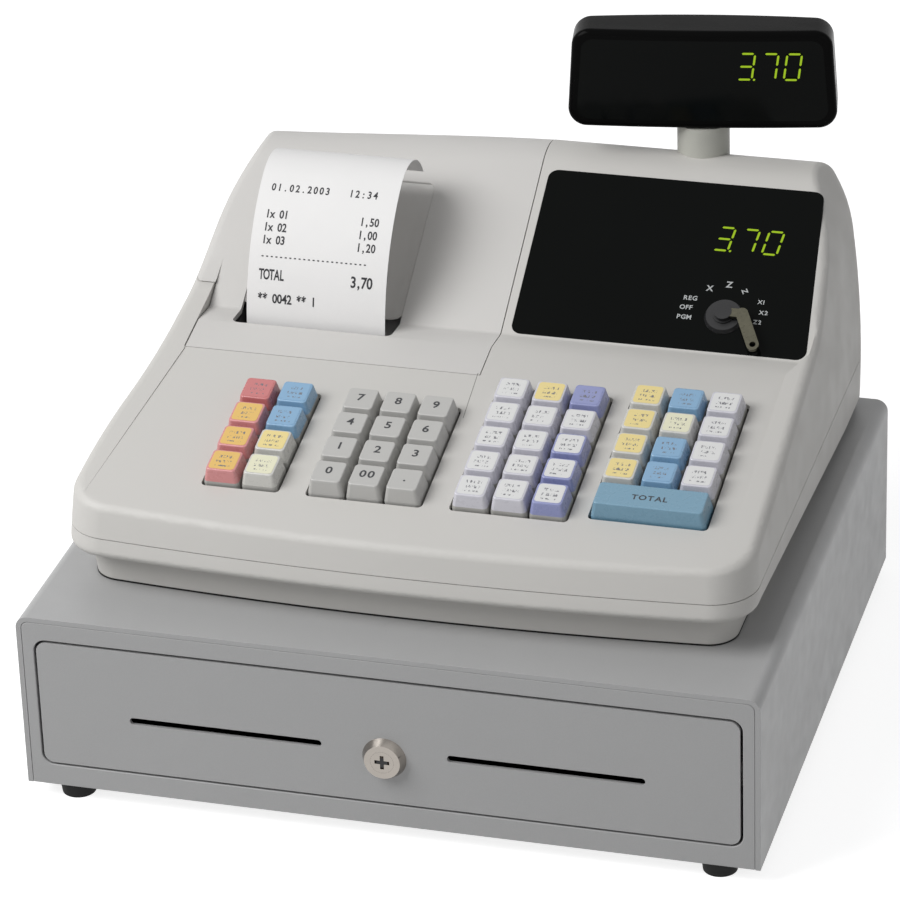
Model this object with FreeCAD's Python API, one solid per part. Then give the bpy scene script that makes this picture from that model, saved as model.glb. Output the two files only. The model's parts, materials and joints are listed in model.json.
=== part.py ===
import FreeCAD, Part
import math
import os

# An electronic ticket register standing on its cash drawer. Millimetres, +Z up, front towards -Y.
# The model is laid out from the drawer's face (y = 0, going back) and the counter (z = 0), and is
# moved at the end so that the origin is on the counter under the middle of the whole outline.

V = FreeCAD.Vector

# Clearances shared by all pieces
overrun = 2.0
body_gap = 0.3
seat_gap = 0.1
running_gap = 0.05
seam_gap = 0.5
fine_gap = 0.01
least_edge = 0.0001

# Cash drawer case
case_width = 350.0
case_depth = 296.0
case_height = 89.0
case_edge_radius = 6.0
cover_sheet = 2.5
base_sheet = 1.5
frame_side = 8.0
frame_top = 11.5
frame_bottom = 11.0
frame_depth = 8.0
opening_radius = 6.0

# Feet and the screws that hold feet, register and cases
foot_height = 8.0
foot_radius = 9.0
foot_taper = 1.0
foot_from_side = 21.0
foot_from_end = 11.0
screw_radius = 2.0
screw_length = 12.0
long_screw_length = 25.0
screw_head_radius = 3.6
screw_head_height = 2.4
screw_cross_width = 0.9
screw_cross_depth = 1.2

# Drawer front, with its slots and lock
front_sheet = 2.0
front_gap = 1.2
slot_length = 92.5
slot_height = 3.7
slot_from_middle = 76.0
slot_level = 39.6
slot_rim = 1.2
slot_rim_sheet = 0.5
lock_level = 36.0
lock_flange_radius = 10.5
lock_face_radius = 8.5
lock_stand_out = 4.0
lock_barrel_radius = 8.0
lock_barrel_length = 16.0
lock_plug_radius = 5.5
keyway_width = 1.8
keyway_height = 7.0
keyway_depth = 5.0
lock_cam_length = 30.0
lock_cam_width = 8.0
lock_cam_sheet = 2.0
lock_slot_gap = 1.0

# Drawer tub, its runners and the rails in the case
tub_sheet = 1.2
tub_width = 320.0
tub_length = 260.0
tub_floor_level = 13.5
tub_rim_level = 66.0
rail_level = 36.0
rail_height = 16.0
rail_wall = 1.6
rail_web = 4.0
rail_depth = 9.6
rail_end_gap = 6.0
runner_height = 12.2
runner_reach = 6.4

# Cash tray and its clip bar
tray_wall = 2.0
tray_depth = 20.0
tray_rim = 2.0
tray_front_gap = 2.4
coin_bay_length = 80.0
coin_bay_corner = 10.0
coin_bay_count = 5
note_bay_count = 4
clip_bar_radius = 2.0
clip_bar_drop = 7.0
clip_bar_from_back = 8.0
clip_arm_length = 68.0
clip_arm_width = 16.0
clip_arm_sheet = 1.6
clip_arm_angle = 8.0
clip_pad_radius = 3.0
clip_pad_width = 34.0

# Latch and ejector behind the tub
solenoid_width = 26.0
solenoid_length = 21.0
solenoid_height = 26.0
solenoid_x = 40.0
solenoid_from_back = 8.0
plunger_radius = 4.0
plunger_rise = 5.0
catch_sheet = 2.0
catch_lip = 6.0
catch_width = 14.0
spring_radius = 6.0
spring_wire = 0.7
spring_level = 32.0
spring_post_radius = 4.0
spring_post_length = 5.0

# Register casing: width at the parting line, plan and side shape. Heights are above the drawer case
wall = 2.5
casing_width = 326.0
side_arc_radius = 470.0
side_lean = 2.0
parting_height = 27.0
parting_gap = 0.4
front_reach = 26.0
front_lean = 0.25
front_bow_radius = 1660.0
corner_radius = 22.0
back_corner_radius = 24.0
back_corner_extra = 3.0
left_waist = 7.0
waist_start = 60.0
waist_end = 178.0
deck_start = 30.0
deck_start_height = 41.0
deck_crest = 177.0
deck_crest_height = 70.05
cheek_rise = 0.6
ledge_back = 194.0
ledge_back_height = 68.8
face_slope = 31.5
cheek_blend_radius = 80.0
ridge_radius = 25.0
ridge_radius_left = 31.0
shoulder_start = 92.0
shoulder_radius = 56.0
back_foot = 305.5
back_lean = 0.17
edge_radius = 5.5
panel_right = 148.6
panel_left = 140.0
panel_left_front = 155.5
panel_left_bend = 153.0
panel_blend_length = 32.0
panel_edge_blend = 3.6
hull_height = 100.0

# Lower case: foot part that stands on the drawer and the overhanging rim
foot_part_width = 306.0
foot_part_flare = 2.5
foot_part_front = 36.0
foot_part_back = 286.0
foot_part_corner = 14.0
rim_start_height = 17.0
rim_slope_start = 57.0
rim_slope_end = 250.0
rim_end_height = 4.0
rim_bend_radius = 200.0
rim_edge_radius = 3.5
boss_radius = 4.5
boss_inset_x = 145.0
boss_front = 66.0
boss_back = 272.0
boss_height = 9.0
board_boss_height = 9.5

# Printer cover and its hinge
cover_seam = 6.0
cover_front = 156.0
cover_side_height = 77.0
cover_side_start = 199.0
cover_overlap = 16.0
outlet_left = 124.0
outlet_right = 44.0
outlet_front = 178.0
outlet_back = 264.0
outlet_radius = 4.0
outlet_edge_radius = 2.0
hinge_radius = 2.8
hinge_pin_radius = 1.4
hinge_stand_out = 1.6
hinge_knuckle = 14.0
hinge_from_seam = 26.0
hinge_spacing = 90.0

# Display window, display board and mode switch, measured on the sloping face
face_start = 195.0
face_start_height = 69.4
window_left = 10.5
window_right_low = 154.5
window_right_high = 146.8
window_length = 95.0
window_sheet = 1.6
window_corner = 5.0
window_ledge = 4.0
window_surround = 1.8
display_board_width = 62.0
display_board_length = 30.0
display_board_sheet = 1.6
display_board_drop = 11.0
digit_block_width = 58.0
digit_block_length = 22.0
digit_block_height = 7.0
digits_x = 112.0
digits_up = 64.0
peg_radius = 2.0
switch_x = 111.4
switch_up = 20.0
switch_ring_radius = 9.5
switch_ring_height = 2.0
switch_barrel_radius = 7.6
switch_barrel_length = 24.0
rotor_radius = 5.0
rotor_stand = 0.8
rotor_slot_width = 1.8
rotor_slot_length = 7.0
mode_key_hub_radius = 4.2
mode_key_stand = 2.2
mode_key_sheet = 1.8
mode_key_arm = 9.2
mode_key_grip_length = 21.5
mode_key_grip_width = 6.0
mode_key_neck_width = 4.6
mode_key_grip_turn = 63.8
mode_key_hole = 1.5

# Keys on the sloping deck
key_pitch = 18.2
key_base = 17.3
key_top_width = 14.2
key_top_length = 14.6
key_height = 8.0
key_skirt = 5.0
key_skirt_wall = 1.4
key_corner = 2.2
key_top_corner = 1.8
key_top_edge = 0.7
key_travel = 3.0
key_stem = 5.0
key_stem_length = 8.2
key_stem_gap = 0.25
key_opening_margin = 1.1
key_opening_radius = 2.4
bottom_row = 38.1
middle_bottom_row = 38.6
total_key_length = 17.9
total_key_row = 43.1
left_pad_x = -91.7
number_pad_x = -41.5
middle_pad_x = 26.9
right_pad_x = 91.0
key_frame_drop = 9.5
key_frame_sheet = 2.0
key_frame_margin = 3.2
key_frame_pillar = 1.6
membrane_sheet = 1.2

# Boards and power parts in the lower case
board_left = -18.0
board_right = 128.0
board_front = 84.0
board_back = 225.0
board_sheet = 1.6
chip_size = 16.0
chip_height = 3.0
transformer_width = 46.0
transformer_length = 38.0
transformer_height = 40.0
transformer_x = 111.0
transformer_y = 253.0
coil_overhang = 6.0
coil_height = 24.0
inlet_x = 60.0
inlet_level = 15.0
inlet_width = 22.0
inlet_height = 11.0
inlet_flange = 3.0
inlet_flange_sheet = 2.0
inlet_depth = 16.0
inlet_wall = 1.5
inlet_pin_radius = 1.2
inlet_pin_spacing = 8.0

# Printer, paper and feed train, in the left half of the casing
printer_middle = 83.0
printer_half_width = 41.0
printer_plate = 2.0
printer_front = 172.0
printer_back = 280.0
printer_front_top = 58.0
ramp_front = 211.0
ramp_back = 266.0
ramp_drop = 6.6
ramp_back_drop = 3.9
ramp_sheet = 1.8
platen_radius = 6.0
platen_length = 72.0
platen_shaft_radius = 2.5
platen_y = 187.5
platen_height = 52.0
gear_module = 1.0
platen_teeth = 24
pinion_teeth = 12
gear_width = 5.0
gear_gap = 0.6
gear_tip_drop = 0.15
gear_root_drop = 1.25
tooth_root_share = 0.29
tooth_tip_share = 0.13
pinion_shaft_radius = 1.0
motor_radius = 9.0
motor_length = 24.0
motor_ear = 3.0
roll_radius = 30.0
roll_width = 69.0
roll_core_radius = 8.0
roll_core_wall = 1.5
roll_y = 250.0
roll_height = 42.0
trough_gap = 1.0
trough_wall = 1.6
paper_width = 69.3
paper_middle = 82.3
paper_sheet = 0.3
paper_gap = 0.3
paper_rise = 10.0
paper_bend_radius = 83.3
paper_bend_turn = 56.0
paper_curl_radius = 26.0
paper_curl_turn = 96.0

# Customer display and its post
post_x = 81.0
post_y = 303.0
post_radius = 12.8
post_wall = 2.0
spigot_radius = 6.5
spigot_wall = 1.5
post_foot_height = 60.0
post_boss_wall = 2.5
post_boss_foot = 57.0
post_boss_top = 122.5
post_boss_slope = 35.0
head_height = 139.9
head_width_low = 131.4
head_width_high = 124.6
head_size_up = 50.8
head_depth = 25.0
head_yaw = 10.0
head_corner = 9.0
head_front_bow = 2.5
head_back_bow = 4.0
head_edge = 3.0
head_wall = 2.0
head_window_margin = 4.5
head_window_sheet = 2.4
head_window_corner = 6.0
head_socket = 12.0
head_board_width = 100.0
head_board_height = 22.0
head_board_sheet = 1.6
head_board_gap = 4.0

# Values worked out from the sizes above
register_floor = foot_height + case_height
case_floor = foot_height
lock_z = case_floor + lock_level
half_case = case_width / 2
base_half = half_case - cover_sheet - seat_gap
base_top = register_floor - cover_sheet - seat_gap
base_inner = base_half - base_sheet
opening_half = half_case - frame_side
opening_low = case_floor + frame_bottom
opening_high = register_floor - frame_top
tub_floor = case_floor + tub_floor_level
tub_rim = case_floor + tub_rim_level
tub_half = tub_width / 2
half_casing = casing_width / 2
deck_slope = math.degrees(math.atan2(deck_crest_height - deck_start_height, deck_crest - deck_start))
paper_left = -paper_middle - paper_width / 2
paper_right = -paper_middle + paper_width / 2
membrane_drop = key_skirt + key_stem_length + key_travel + body_gap + membrane_sheet
middle_y = (post_y + head_width_low / 2 * math.sin(math.radians(head_yaw))
            + (head_depth / 2 - head_back_bow) * math.cos(math.radians(head_yaw)) - lock_stand_out) / 2

nodes = {}


def box(x0, x1, y0, y1, z0, z1):
    """A box between two corners."""
    return Part.makeBox(x1 - x0, y1 - y0, z1 - z0, V(x0, y0, z0))


def rod(centre, direction, radius, length):
    """A round bar from a centre point along a direction."""
    return Part.makeCylinder(radius, length, centre, direction)


def tube(centre, direction, radius, bore, length):
    """A round tube from a centre point along a direction."""
    return rod(centre, direction, radius, length).cut(rod(centre, direction, bore, length))


def outline(points, radii, place):
    """A closed outline through the points, each corner rounded by its radius. place maps (a, b)."""
    corners = []
    count = len(points)
    for i in range(count):
        p = V(points[i][0], points[i][1], 0)
        radius = radii[i]
        if radius <= 0:
            corners.append((p, p, None))
            continue
        before = V(points[i - 1][0], points[i - 1][1], 0) - p
        after = V(points[(i + 1) % count][0], points[(i + 1) % count][1], 0) - p
        before.normalize()
        after.normalize()
        half = math.acos(max(-1, min(1, before.dot(after)))) / 2
        middle = before + after
        middle.normalize()
        centre = p + middle * (radius / math.sin(half))
        reach = radius / math.tan(half)
        corners.append((p + before * reach, p + after * reach, centre - middle * radius))
    edges = []
    for i in range(count):
        start, end, crown = corners[i]
        if crown is not None:
            arc = Part.Arc(place(start.x, start.y), place(crown.x, crown.y), place(end.x, end.y))
            edges.append(arc.toShape())
        following = corners[(i + 1) % count][0]
        if (following - end).Length > least_edge:
            edges.append(Part.LineSegment(place(end.x, end.y), place(following.x, following.y)).toShape())
    return Part.Wire(edges)


def prism_yz(points, radii, x0, x1):
    """A side outline of (y, z) points, carried across from x0 to x1."""
    wire = outline(points, radii, lambda a, b: V(x0, a, b))
    return Part.Face(wire).extrude(V(x1 - x0, 0, 0))


def prism_xz(points, radii, y0, y1):
    """A front outline of (x, z) points, carried back from y0 to y1."""
    wire = outline(points, radii, lambda a, b: V(a, y0, b))
    return Part.Face(wire).extrude(V(0, y1 - y0, 0))


def prism_xy(points, radii, z0, z1):
    """A plan outline of (x, y) points, carried up from z0 to z1."""
    wire = outline(points, radii, lambda a, b: V(a, b, z0))
    return Part.Face(wire).extrude(V(0, 0, z1 - z0))


def rectangle(x0, x1, y0, y1):
    """The four corners of a rectangle."""
    return [(x0, y0), (x1, y0), (x1, y1), (x0, y1)]


def slab(x0, x1, y0, y1, z0, z1, radius):
    """A flat slab with rounded corners in plan."""
    return prism_xy(rectangle(x0, x1, y0, y1), [radius] * 4, z0, z1)


def join(shapes):
    """Several solids made one, with split faces merged."""
    return shapes[0].fuse(shapes[1:]).removeSplitter()


def group(shapes):
    """Separate solids that share a node."""
    return Part.makeCompound(shapes)


def on_slope(shape, angle, y, z):
    """Lays a shape, drawn flat with z as its height, on a slope that starts at (y, z)."""
    placed = shape.copy()
    placed.rotate(V(0, 0, 0), V(1, 0, 0), angle)
    placed.translate(V(0, y, z))
    return placed


def on_deck(shape):
    """Lays a shape on the keyboard deck: its y runs up the slope, its z stands off the deck."""
    return on_slope(shape, deck_slope, deck_start, register_floor + deck_start_height)


def on_face(shape):
    """Lays a shape on the steep face that holds the display window."""
    return on_slope(shape, face_slope, face_start, register_floor + face_start_height)


def crossing(p, p_slope, q, q_slope):
    """Where two lines of given slope (rise over run) through two points meet."""
    y = (q[1] - p[1] + p_slope * p[0] - q_slope * q[0]) / (p_slope - q_slope)
    return (y, p[1] + p_slope * (y - p[0]))


def screw(x, y, z, up, length):
    """A pan head screw whose head's seat is at z and whose shank points up (1) or down (-1)."""
    shank = rod(V(x, y, z), V(0, 0, up), screw_radius, length)
    head = rod(V(x, y, z), V(0, 0, -up), screw_head_radius, screw_head_height)
    arm = screw_head_radius
    top = z - up * screw_head_height
    low = min(top, top + up * screw_cross_depth)
    high = max(top, top + up * screw_cross_depth)
    cross = box(x - arm / 2, x + arm / 2, y - screw_cross_width / 2, y + screw_cross_width / 2, low, high)
    other = box(x - screw_cross_width / 2, x + screw_cross_width / 2, y - arm / 2, y + arm / 2, low, high)
    return join([shank, head]).cut(join([cross, other]))


def foot_places():
    """Plan places of the four feet."""
    x = half_case - foot_from_side
    return [(sx * x, y) for sx in (-1, 1) for y in (foot_from_end, case_depth - foot_from_end)]


def boss_places():
    """Plan places of the four screws that join register and drawer, and lower and upper case."""
    return [(sx * boss_inset_x, y) for sx in (-1, 1) for y in (boss_front, boss_back)]


def drawer_case():
    """Cover, base tray and face frame of the cash drawer, with feet and rails."""
    top = register_floor
    inner_radius = case_edge_radius - cover_sheet
    shell = prism_xz([(-half_case, case_floor), (half_case, case_floor), (half_case, top), (-half_case, top)],
                     [0, 0, case_edge_radius, case_edge_radius], 0, case_depth)
    inner_half = half_case - cover_sheet
    inner_top = top - cover_sheet
    hollow = prism_xz([(-inner_half, case_floor - overrun), (inner_half, case_floor - overrun),
                       (inner_half, inner_top), (-inner_half, inner_top)],
                      [0, 0, inner_radius, inner_radius], -overrun, case_depth + overrun)
    cover = shell.cut(hollow)
    for x, y in boss_places():
        cover = cover.cut(rod(V(x, y, inner_top - overrun), V(0, 0, 1), screw_radius + seat_gap,
                              cover_sheet + 2 * overrun))
    nodes["drawer_cover"] = cover

    frame_outer = prism_xz(rectangle(-base_half, base_half, case_floor, base_top),
                           [0, 0, inner_radius, inner_radius], 0, frame_depth)
    opening = prism_xz(rectangle(-opening_half, opening_half, opening_low, opening_high),
                       [opening_radius] * 4, -overrun, frame_depth + overrun)
    nodes["drawer_face_frame"] = frame_outer.cut(opening)

    start = frame_depth + seat_gap
    tray = box(-base_half, base_half, start, case_depth, case_floor, base_top - inner_radius)
    room = box(-base_inner, base_inner, start - overrun, case_depth - base_sheet,
               case_floor + base_sheet, base_top + overrun)
    base = tray.cut(room)
    post = rod(V(0, case_depth - base_sheet, case_floor + spring_level), V(0, -1, 0),
               spring_post_radius, spring_post_length)
    base = join([base, post])
    for x, y in foot_places():
        base = base.cut(rod(V(x, y, case_floor - overrun), V(0, 0, 1), screw_radius + seat_gap,
                            base_sheet + 2 * overrun))
    nodes["drawer_base"] = base

    feet = []
    fasteners = []
    seat = foot_height / 2
    for x, y in foot_places():
        foot = Part.makeCone(foot_radius - foot_taper, foot_radius, foot_height, V(x, y, 0))
        foot = foot.cut(rod(V(x, y, 0), V(0, 0, 1), screw_head_radius + seat_gap, seat))
        foot = foot.cut(rod(V(x, y, 0), V(0, 0, 1), screw_radius + seat_gap, foot_height))
        feet.append(foot)
        fasteners.append(screw(x, y, seat, 1, screw_length))
    nodes["rubber_feet"] = group(feet)

    for x, y in boss_places():
        fasteners.append(screw(x, y, inner_top, 1, long_screw_length))
    nodes["screws"] = group(fasteners)

    rails = []
    y0 = start + rail_end_gap
    y1 = case_depth - base_sheet - rail_end_gap
    low = case_floor + rail_level
    for side in (-1, 1):
        outer = side * base_inner
        inner = side * (base_inner - rail_depth)
        bar = box(min(outer, inner), max(outer, inner), y0, y1, low, low + rail_height)
        web = side * (base_inner - rail_web)
        deep = side * (base_inner - rail_depth - overrun)
        channel = box(min(web, deep), max(web, deep), y0 - overrun, y1 + overrun,
                      low + rail_wall, low + rail_height - rail_wall)
        rails.append(bar.cut(channel))
    nodes["slide_rails"] = group(rails)


def slot_cutter(depth, margin):
    """Two long slots with round ends, through the drawer front."""
    cutters = []
    half_length = slot_length / 2 + margin
    half_height = slot_height / 2 + margin
    z = case_floor + slot_level
    for side in (-1, 1):
        x = side * slot_from_middle
        points = rectangle(x - half_length, x + half_length, z - half_height, z + half_height)
        cutters.append(prism_xz(points, [half_height - fine_gap] * 4, -overrun, depth))
    return cutters


def drawer_unit():
    """Drawer front, tub with runners, cash tray, clip bar and lock."""
    inner_radius = opening_radius - front_gap
    front = prism_xz(rectangle(-opening_half + front_gap, opening_half - front_gap,
                               opening_low + front_gap, opening_high - front_gap),
                     [inner_radius] * 4, 0, front_sheet)
    for cutter in slot_cutter(front_sheet + overrun, 0):
        front = front.cut(cutter)
    front = front.cut(rod(V(0, -overrun, lock_z), V(0, 1, 0), lock_barrel_radius + seat_gap,
                          front_sheet + 2 * overrun))
    nodes["drawer_front"] = front

    y0 = front_sheet
    y1 = front_sheet + tub_length
    tub = box(-tub_half, tub_half, y0, y1, tub_floor, tub_rim)
    room = box(-tub_half + tub_sheet, tub_half - tub_sheet, y0 + tub_sheet, y1 - tub_sheet,
               tub_floor + tub_sheet, tub_rim + overrun)
    tub = tub.cut(room)
    pieces = [tub]
    runner_low = case_floor + rail_level + (rail_height - runner_height) / 2
    for side in (-1, 1):
        inner = side * (tub_half - tub_sheet / 2)
        outer = side * (tub_half + runner_reach)
        pieces.append(box(min(inner, outer), max(inner, outer), y0 + frame_depth, y1,
                          runner_low, runner_low + runner_height))
    catch_top = case_floor + solenoid_height + base_sheet + plunger_rise + seat_gap + catch_sheet + catch_lip
    catch_x = solenoid_x - catch_width / 2
    lip_y = case_depth - base_sheet - solenoid_from_back - solenoid_length / 2 + plunger_radius + body_gap * 2
    pieces.append(box(catch_x, catch_x + catch_width, y1 - tub_sheet / 2, lip_y + catch_sheet,
                      catch_top - catch_sheet, catch_top))
    pieces.append(box(catch_x, catch_x + catch_width, lip_y, lip_y + catch_sheet,
                      catch_top - catch_sheet - catch_lip, catch_top))
    tub = join(pieces)
    for cutter in slot_cutter(y0 + tub_sheet + overrun, slot_rim):
        tub = tub.cut(cutter)
    tub = tub.cut(rod(V(0, 0, lock_z), V(0, 1, 0), lock_barrel_radius + seat_gap, y0 + tub_sheet + overrun))
    cam_y = lock_barrel_length
    cam_drop = lock_z - tub_floor
    cam_reach = math.sqrt(lock_cam_length ** 2 - (cam_drop - tub_sheet) ** 2) + lock_cam_width
    tub = tub.cut(box(-lock_cam_width, cam_reach, cam_y - lock_slot_gap,
                      cam_y + lock_cam_sheet + lock_slot_gap, tub_floor - overrun, tub_floor + 2 * tub_sheet))
    nodes["drawer_tub"] = tub

    cash_tray(y0 + tub_sheet, y1 - tub_sheet)

    flange = Part.makeCone(lock_face_radius, lock_flange_radius, lock_stand_out,
                           V(0, -lock_stand_out, lock_z), V(0, 1, 0))
    barrel = rod(V(0, 0, lock_z), V(0, 1, 0), lock_barrel_radius, lock_barrel_length)
    body = join([flange, barrel])
    bore = rod(V(0, -lock_stand_out - overrun, lock_z), V(0, 1, 0), lock_plug_radius + running_gap,
               lock_stand_out + lock_barrel_length + 2 * overrun)
    nodes["lock_body"] = body.cut(bore)

    plug = rod(V(0, -lock_stand_out, lock_z), V(0, 1, 0), lock_plug_radius,
               lock_stand_out + lock_barrel_length)
    slot_up = box(-keyway_width / 2, keyway_width / 2, -lock_stand_out - overrun,
                  -lock_stand_out + keyway_depth, lock_z - keyway_height / 2, lock_z + keyway_height / 2)
    slot_across = box(-keyway_height / 2, keyway_height / 2, -lock_stand_out - overrun,
                      -lock_stand_out + keyway_depth, lock_z - keyway_width / 2, lock_z + keyway_width / 2)
    plug = plug.cut(join([slot_up, slot_across]))
    cam = prism_xz(rectangle(-lock_cam_width / 2, lock_cam_length, lock_z - lock_cam_width / 2,
                             lock_z + lock_cam_width / 2),
                   [lock_cam_width / 2 - seat_gap] * 4, cam_y, cam_y + lock_cam_sheet)
    nodes["lock_cylinder"] = group([plug, cam])


def cash_tray(y_front, y_back):
    """Moulded tray hung by its rim on the tub, and the bar of note clips hinged in it."""
    half = tub_half - tub_sheet - seat_gap * 3
    y0 = y_front + tray_front_gap
    y1 = y_back - seat_gap * 3
    z0 = tub_rim - tray_depth
    top = tub_rim + seat_gap + tray_rim
    body = slab(-half, half, y0, y1, z0, top, opening_radius / 2)
    rim = box(-tub_half, tub_half, y0, y1, tub_rim + seat_gap, top)
    tray = join([body, rim])
    inner_half = half - tray_wall
    coin_y1 = y0 + tray_wall + coin_bay_length
    note_y0 = coin_y1 + tray_wall
    for count, ya, yb, radius in ((coin_bay_count, y0 + tray_wall, coin_y1, coin_bay_corner),
                                  (note_bay_count, note_y0, y1 - tray_wall, tray_wall)):
        width = (2 * inner_half - (count - 1) * tray_wall) / count
        for i in range(count):
            x = -inner_half + i * (width + tray_wall)
            tray = tray.cut(slab(x, x + width, ya, yb, z0 + tray_wall, top + overrun, radius))
    bar_y = y1 - tray_wall - clip_bar_from_back
    bar_z = top - clip_bar_drop
    tray = tray.cut(rod(V(-half + tray_wall / 2, bar_y, bar_z), V(1, 0, 0), clip_bar_radius + running_gap,
                        2 * half - tray_wall))
    nodes["cash_tray"] = tray

    bar = rod(V(-half + tray_wall / 2 + seat_gap, bar_y, bar_z), V(1, 0, 0), clip_bar_radius,
              2 * half - tray_wall - 2 * seat_gap)
    width = (2 * inner_half - (note_bay_count - 1) * tray_wall) / note_bay_count
    pieces = [bar]
    for i in range(note_bay_count):
        x = -inner_half + i * (width + tray_wall) + width / 2
        arm = slab(x - clip_arm_width / 2, x + clip_arm_width / 2, bar_y - clip_arm_length, bar_y,
                   bar_z - clip_arm_sheet / 2, bar_z + clip_arm_sheet / 2, clip_bar_radius)
        pad = rod(V(x - clip_pad_width / 2, bar_y - clip_arm_length, bar_z), V(1, 0, 0),
                  clip_pad_radius, clip_pad_width)
        clip = join([arm, pad])
        clip.rotate(V(x, bar_y, bar_z), V(1, 0, 0), clip_arm_angle)
        pieces.append(clip)
    nodes["note_clips"] = join(pieces)


def latch():
    """Solenoid with its plunger, which rises into the tub's catch, and the ejector spring."""
    y = case_depth - base_sheet - solenoid_from_back - solenoid_length / 2
    z0 = case_floor + base_sheet
    z1 = z0 + solenoid_height
    body = box(solenoid_x - solenoid_width / 2, solenoid_x + solenoid_width / 2,
               y - solenoid_length / 2, y + solenoid_length / 2, z0, z1)
    bore = rod(V(solenoid_x, y, z0 + base_sheet), V(0, 0, 1), plunger_radius + running_gap, solenoid_height)
    window = box(solenoid_x - solenoid_width / 2 + base_sheet, solenoid_x + solenoid_width / 2 - base_sheet,
                 y - solenoid_length, y - solenoid_length / 2 + base_sheet, z0 + base_sheet, z1 - base_sheet)
    nodes["latch_solenoid"] = body.cut(bore).cut(window)
    nodes["latch_plunger"] = rod(V(solenoid_x, y, z0 + base_sheet + seat_gap), V(0, 0, 1), plunger_radius,
                                 solenoid_height)
    start = front_sheet + tub_length + body_gap
    end = case_depth - base_sheet - body_gap
    centre = V(0, start, case_floor + spring_level)
    outside = rod(centre, V(0, 1, 0), spring_radius + spring_wire, end - start)
    nodes["ejector_spring"] = outside.cut(rod(centre, V(0, 1, 0), spring_radius - spring_wire, end - start))


def half_width_at(height):
    """Half width of the casing at a height above the drawer: its sides lean in along a long arc,
    and faster near the top."""
    start = math.radians(side_lean)
    angle = math.asin(math.sin(start) + (height - parting_height) / side_arc_radius)
    drawn_in = max(height - shoulder_start, 0) ** 2 / (2 * shoulder_radius)
    return half_casing - side_arc_radius * (math.cos(start) - math.cos(angle)) - drawn_in


def plan_outline(z, half, front, bow, corner, back, back_corner, waist):
    """Plan outline with a bowed front and round corners. The left side steps in towards the back by
    a soft double bend."""
    corner_x = half - corner
    corner_y = front + bow - math.sqrt((bow - corner) ** 2 - corner_x ** 2)
    bow_centre = V(0, front + bow, z)
    touch = bow_centre + (V(corner_x, corner_y, z) - bow_centre) * (bow / (bow - corner))
    turn = math.atan2(touch.y - corner_y, touch.x - corner_x) / 2
    crown = V(corner_x + corner * math.cos(turn), corner_y + corner * math.sin(turn), z)
    diagonal = back_corner * (1 - math.sqrt(0.5))
    left = -half + waist
    points = [V(-touch.x, touch.y, z), touch, V(half, corner_y, z), V(half, back - back_corner, z),
              V(half - back_corner, back, z), V(left + back_corner, back, z), V(left, back - back_corner, z)]
    edges = [Part.Arc(points[0], V(0, front, z), points[1]).toShape(),
             Part.Arc(points[1], crown, points[2]).toShape(),
             Part.LineSegment(points[2], points[3]).toShape(),
             Part.Arc(points[3], V(half - diagonal, back - diagonal, z), points[4]).toShape(),
             Part.LineSegment(points[4], points[5]).toShape(),
             Part.Arc(points[5], V(left + diagonal, back - diagonal, z), points[6]).toShape()]
    length = waist_end - waist_start
    middle = (waist_start + waist_end) / 2
    if waist > 0:
        bend = (length ** 2 + waist ** 2) / (4 * waist)
        sag = bend - math.sqrt(bend ** 2 - (length / 4) ** 2)
        side = [V(left, waist_end, z), V((-half + left) / 2, middle, z), V(-half, waist_start, z)]
        edges += [Part.LineSegment(points[6], side[0]).toShape(),
                  Part.Arc(side[0], V(left - sag, middle + length / 4, z), side[1]).toShape(),
                  Part.Arc(side[1], V(-half + sag, middle - length / 4, z), side[2]).toShape(),
                  Part.LineSegment(side[2], V(-half, corner_y, z)).toShape()]
    else:
        edges.append(Part.LineSegment(points[6], V(-half, corner_y, z)).toShape())
    edges.append(Part.Arc(V(-half, corner_y, z), V(-crown.x, crown.y, z), points[0]).toShape())
    return Part.Wire(edges)


def back_point(height, inset):
    """A point of the back wall's line at a height above the drawer, set in by inset."""
    return (back_foot + back_lean * (height - parting_height) - inset * math.sqrt(1 + back_lean ** 2), height)


def casing_hull(inset, low, high):
    """The casing's plan shape between two heights above the drawer, set in by inset."""
    steps = 13
    wires = []
    for i in range(steps):
        height = low + (high - low) * i / (steps - 1)
        wires.append(plan_outline(register_floor + height, half_width_at(height) - inset,
                                  front_reach + (height - parting_height) * front_lean + inset,
                                  front_bow_radius - inset, corner_radius - inset,
                                  back_point(height, inset)[0] + back_corner_extra,
                                  back_corner_radius - inset, left_waist))
    return Part.makeLoft(wires, True, False)


def face_rise():
    """Rise over run of the steep face."""
    return math.tan(math.radians(face_slope))


def lowered(point, rise, inset):
    """A point moved straight down so that a line of that rise through it is set in by inset."""
    return (point[0], point[1] - inset * math.sqrt(1 + rise ** 2))


def lift(points):
    """Heights above the drawer turned into heights above the counter."""
    return [(y, register_floor + h) for y, h in points]


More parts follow.
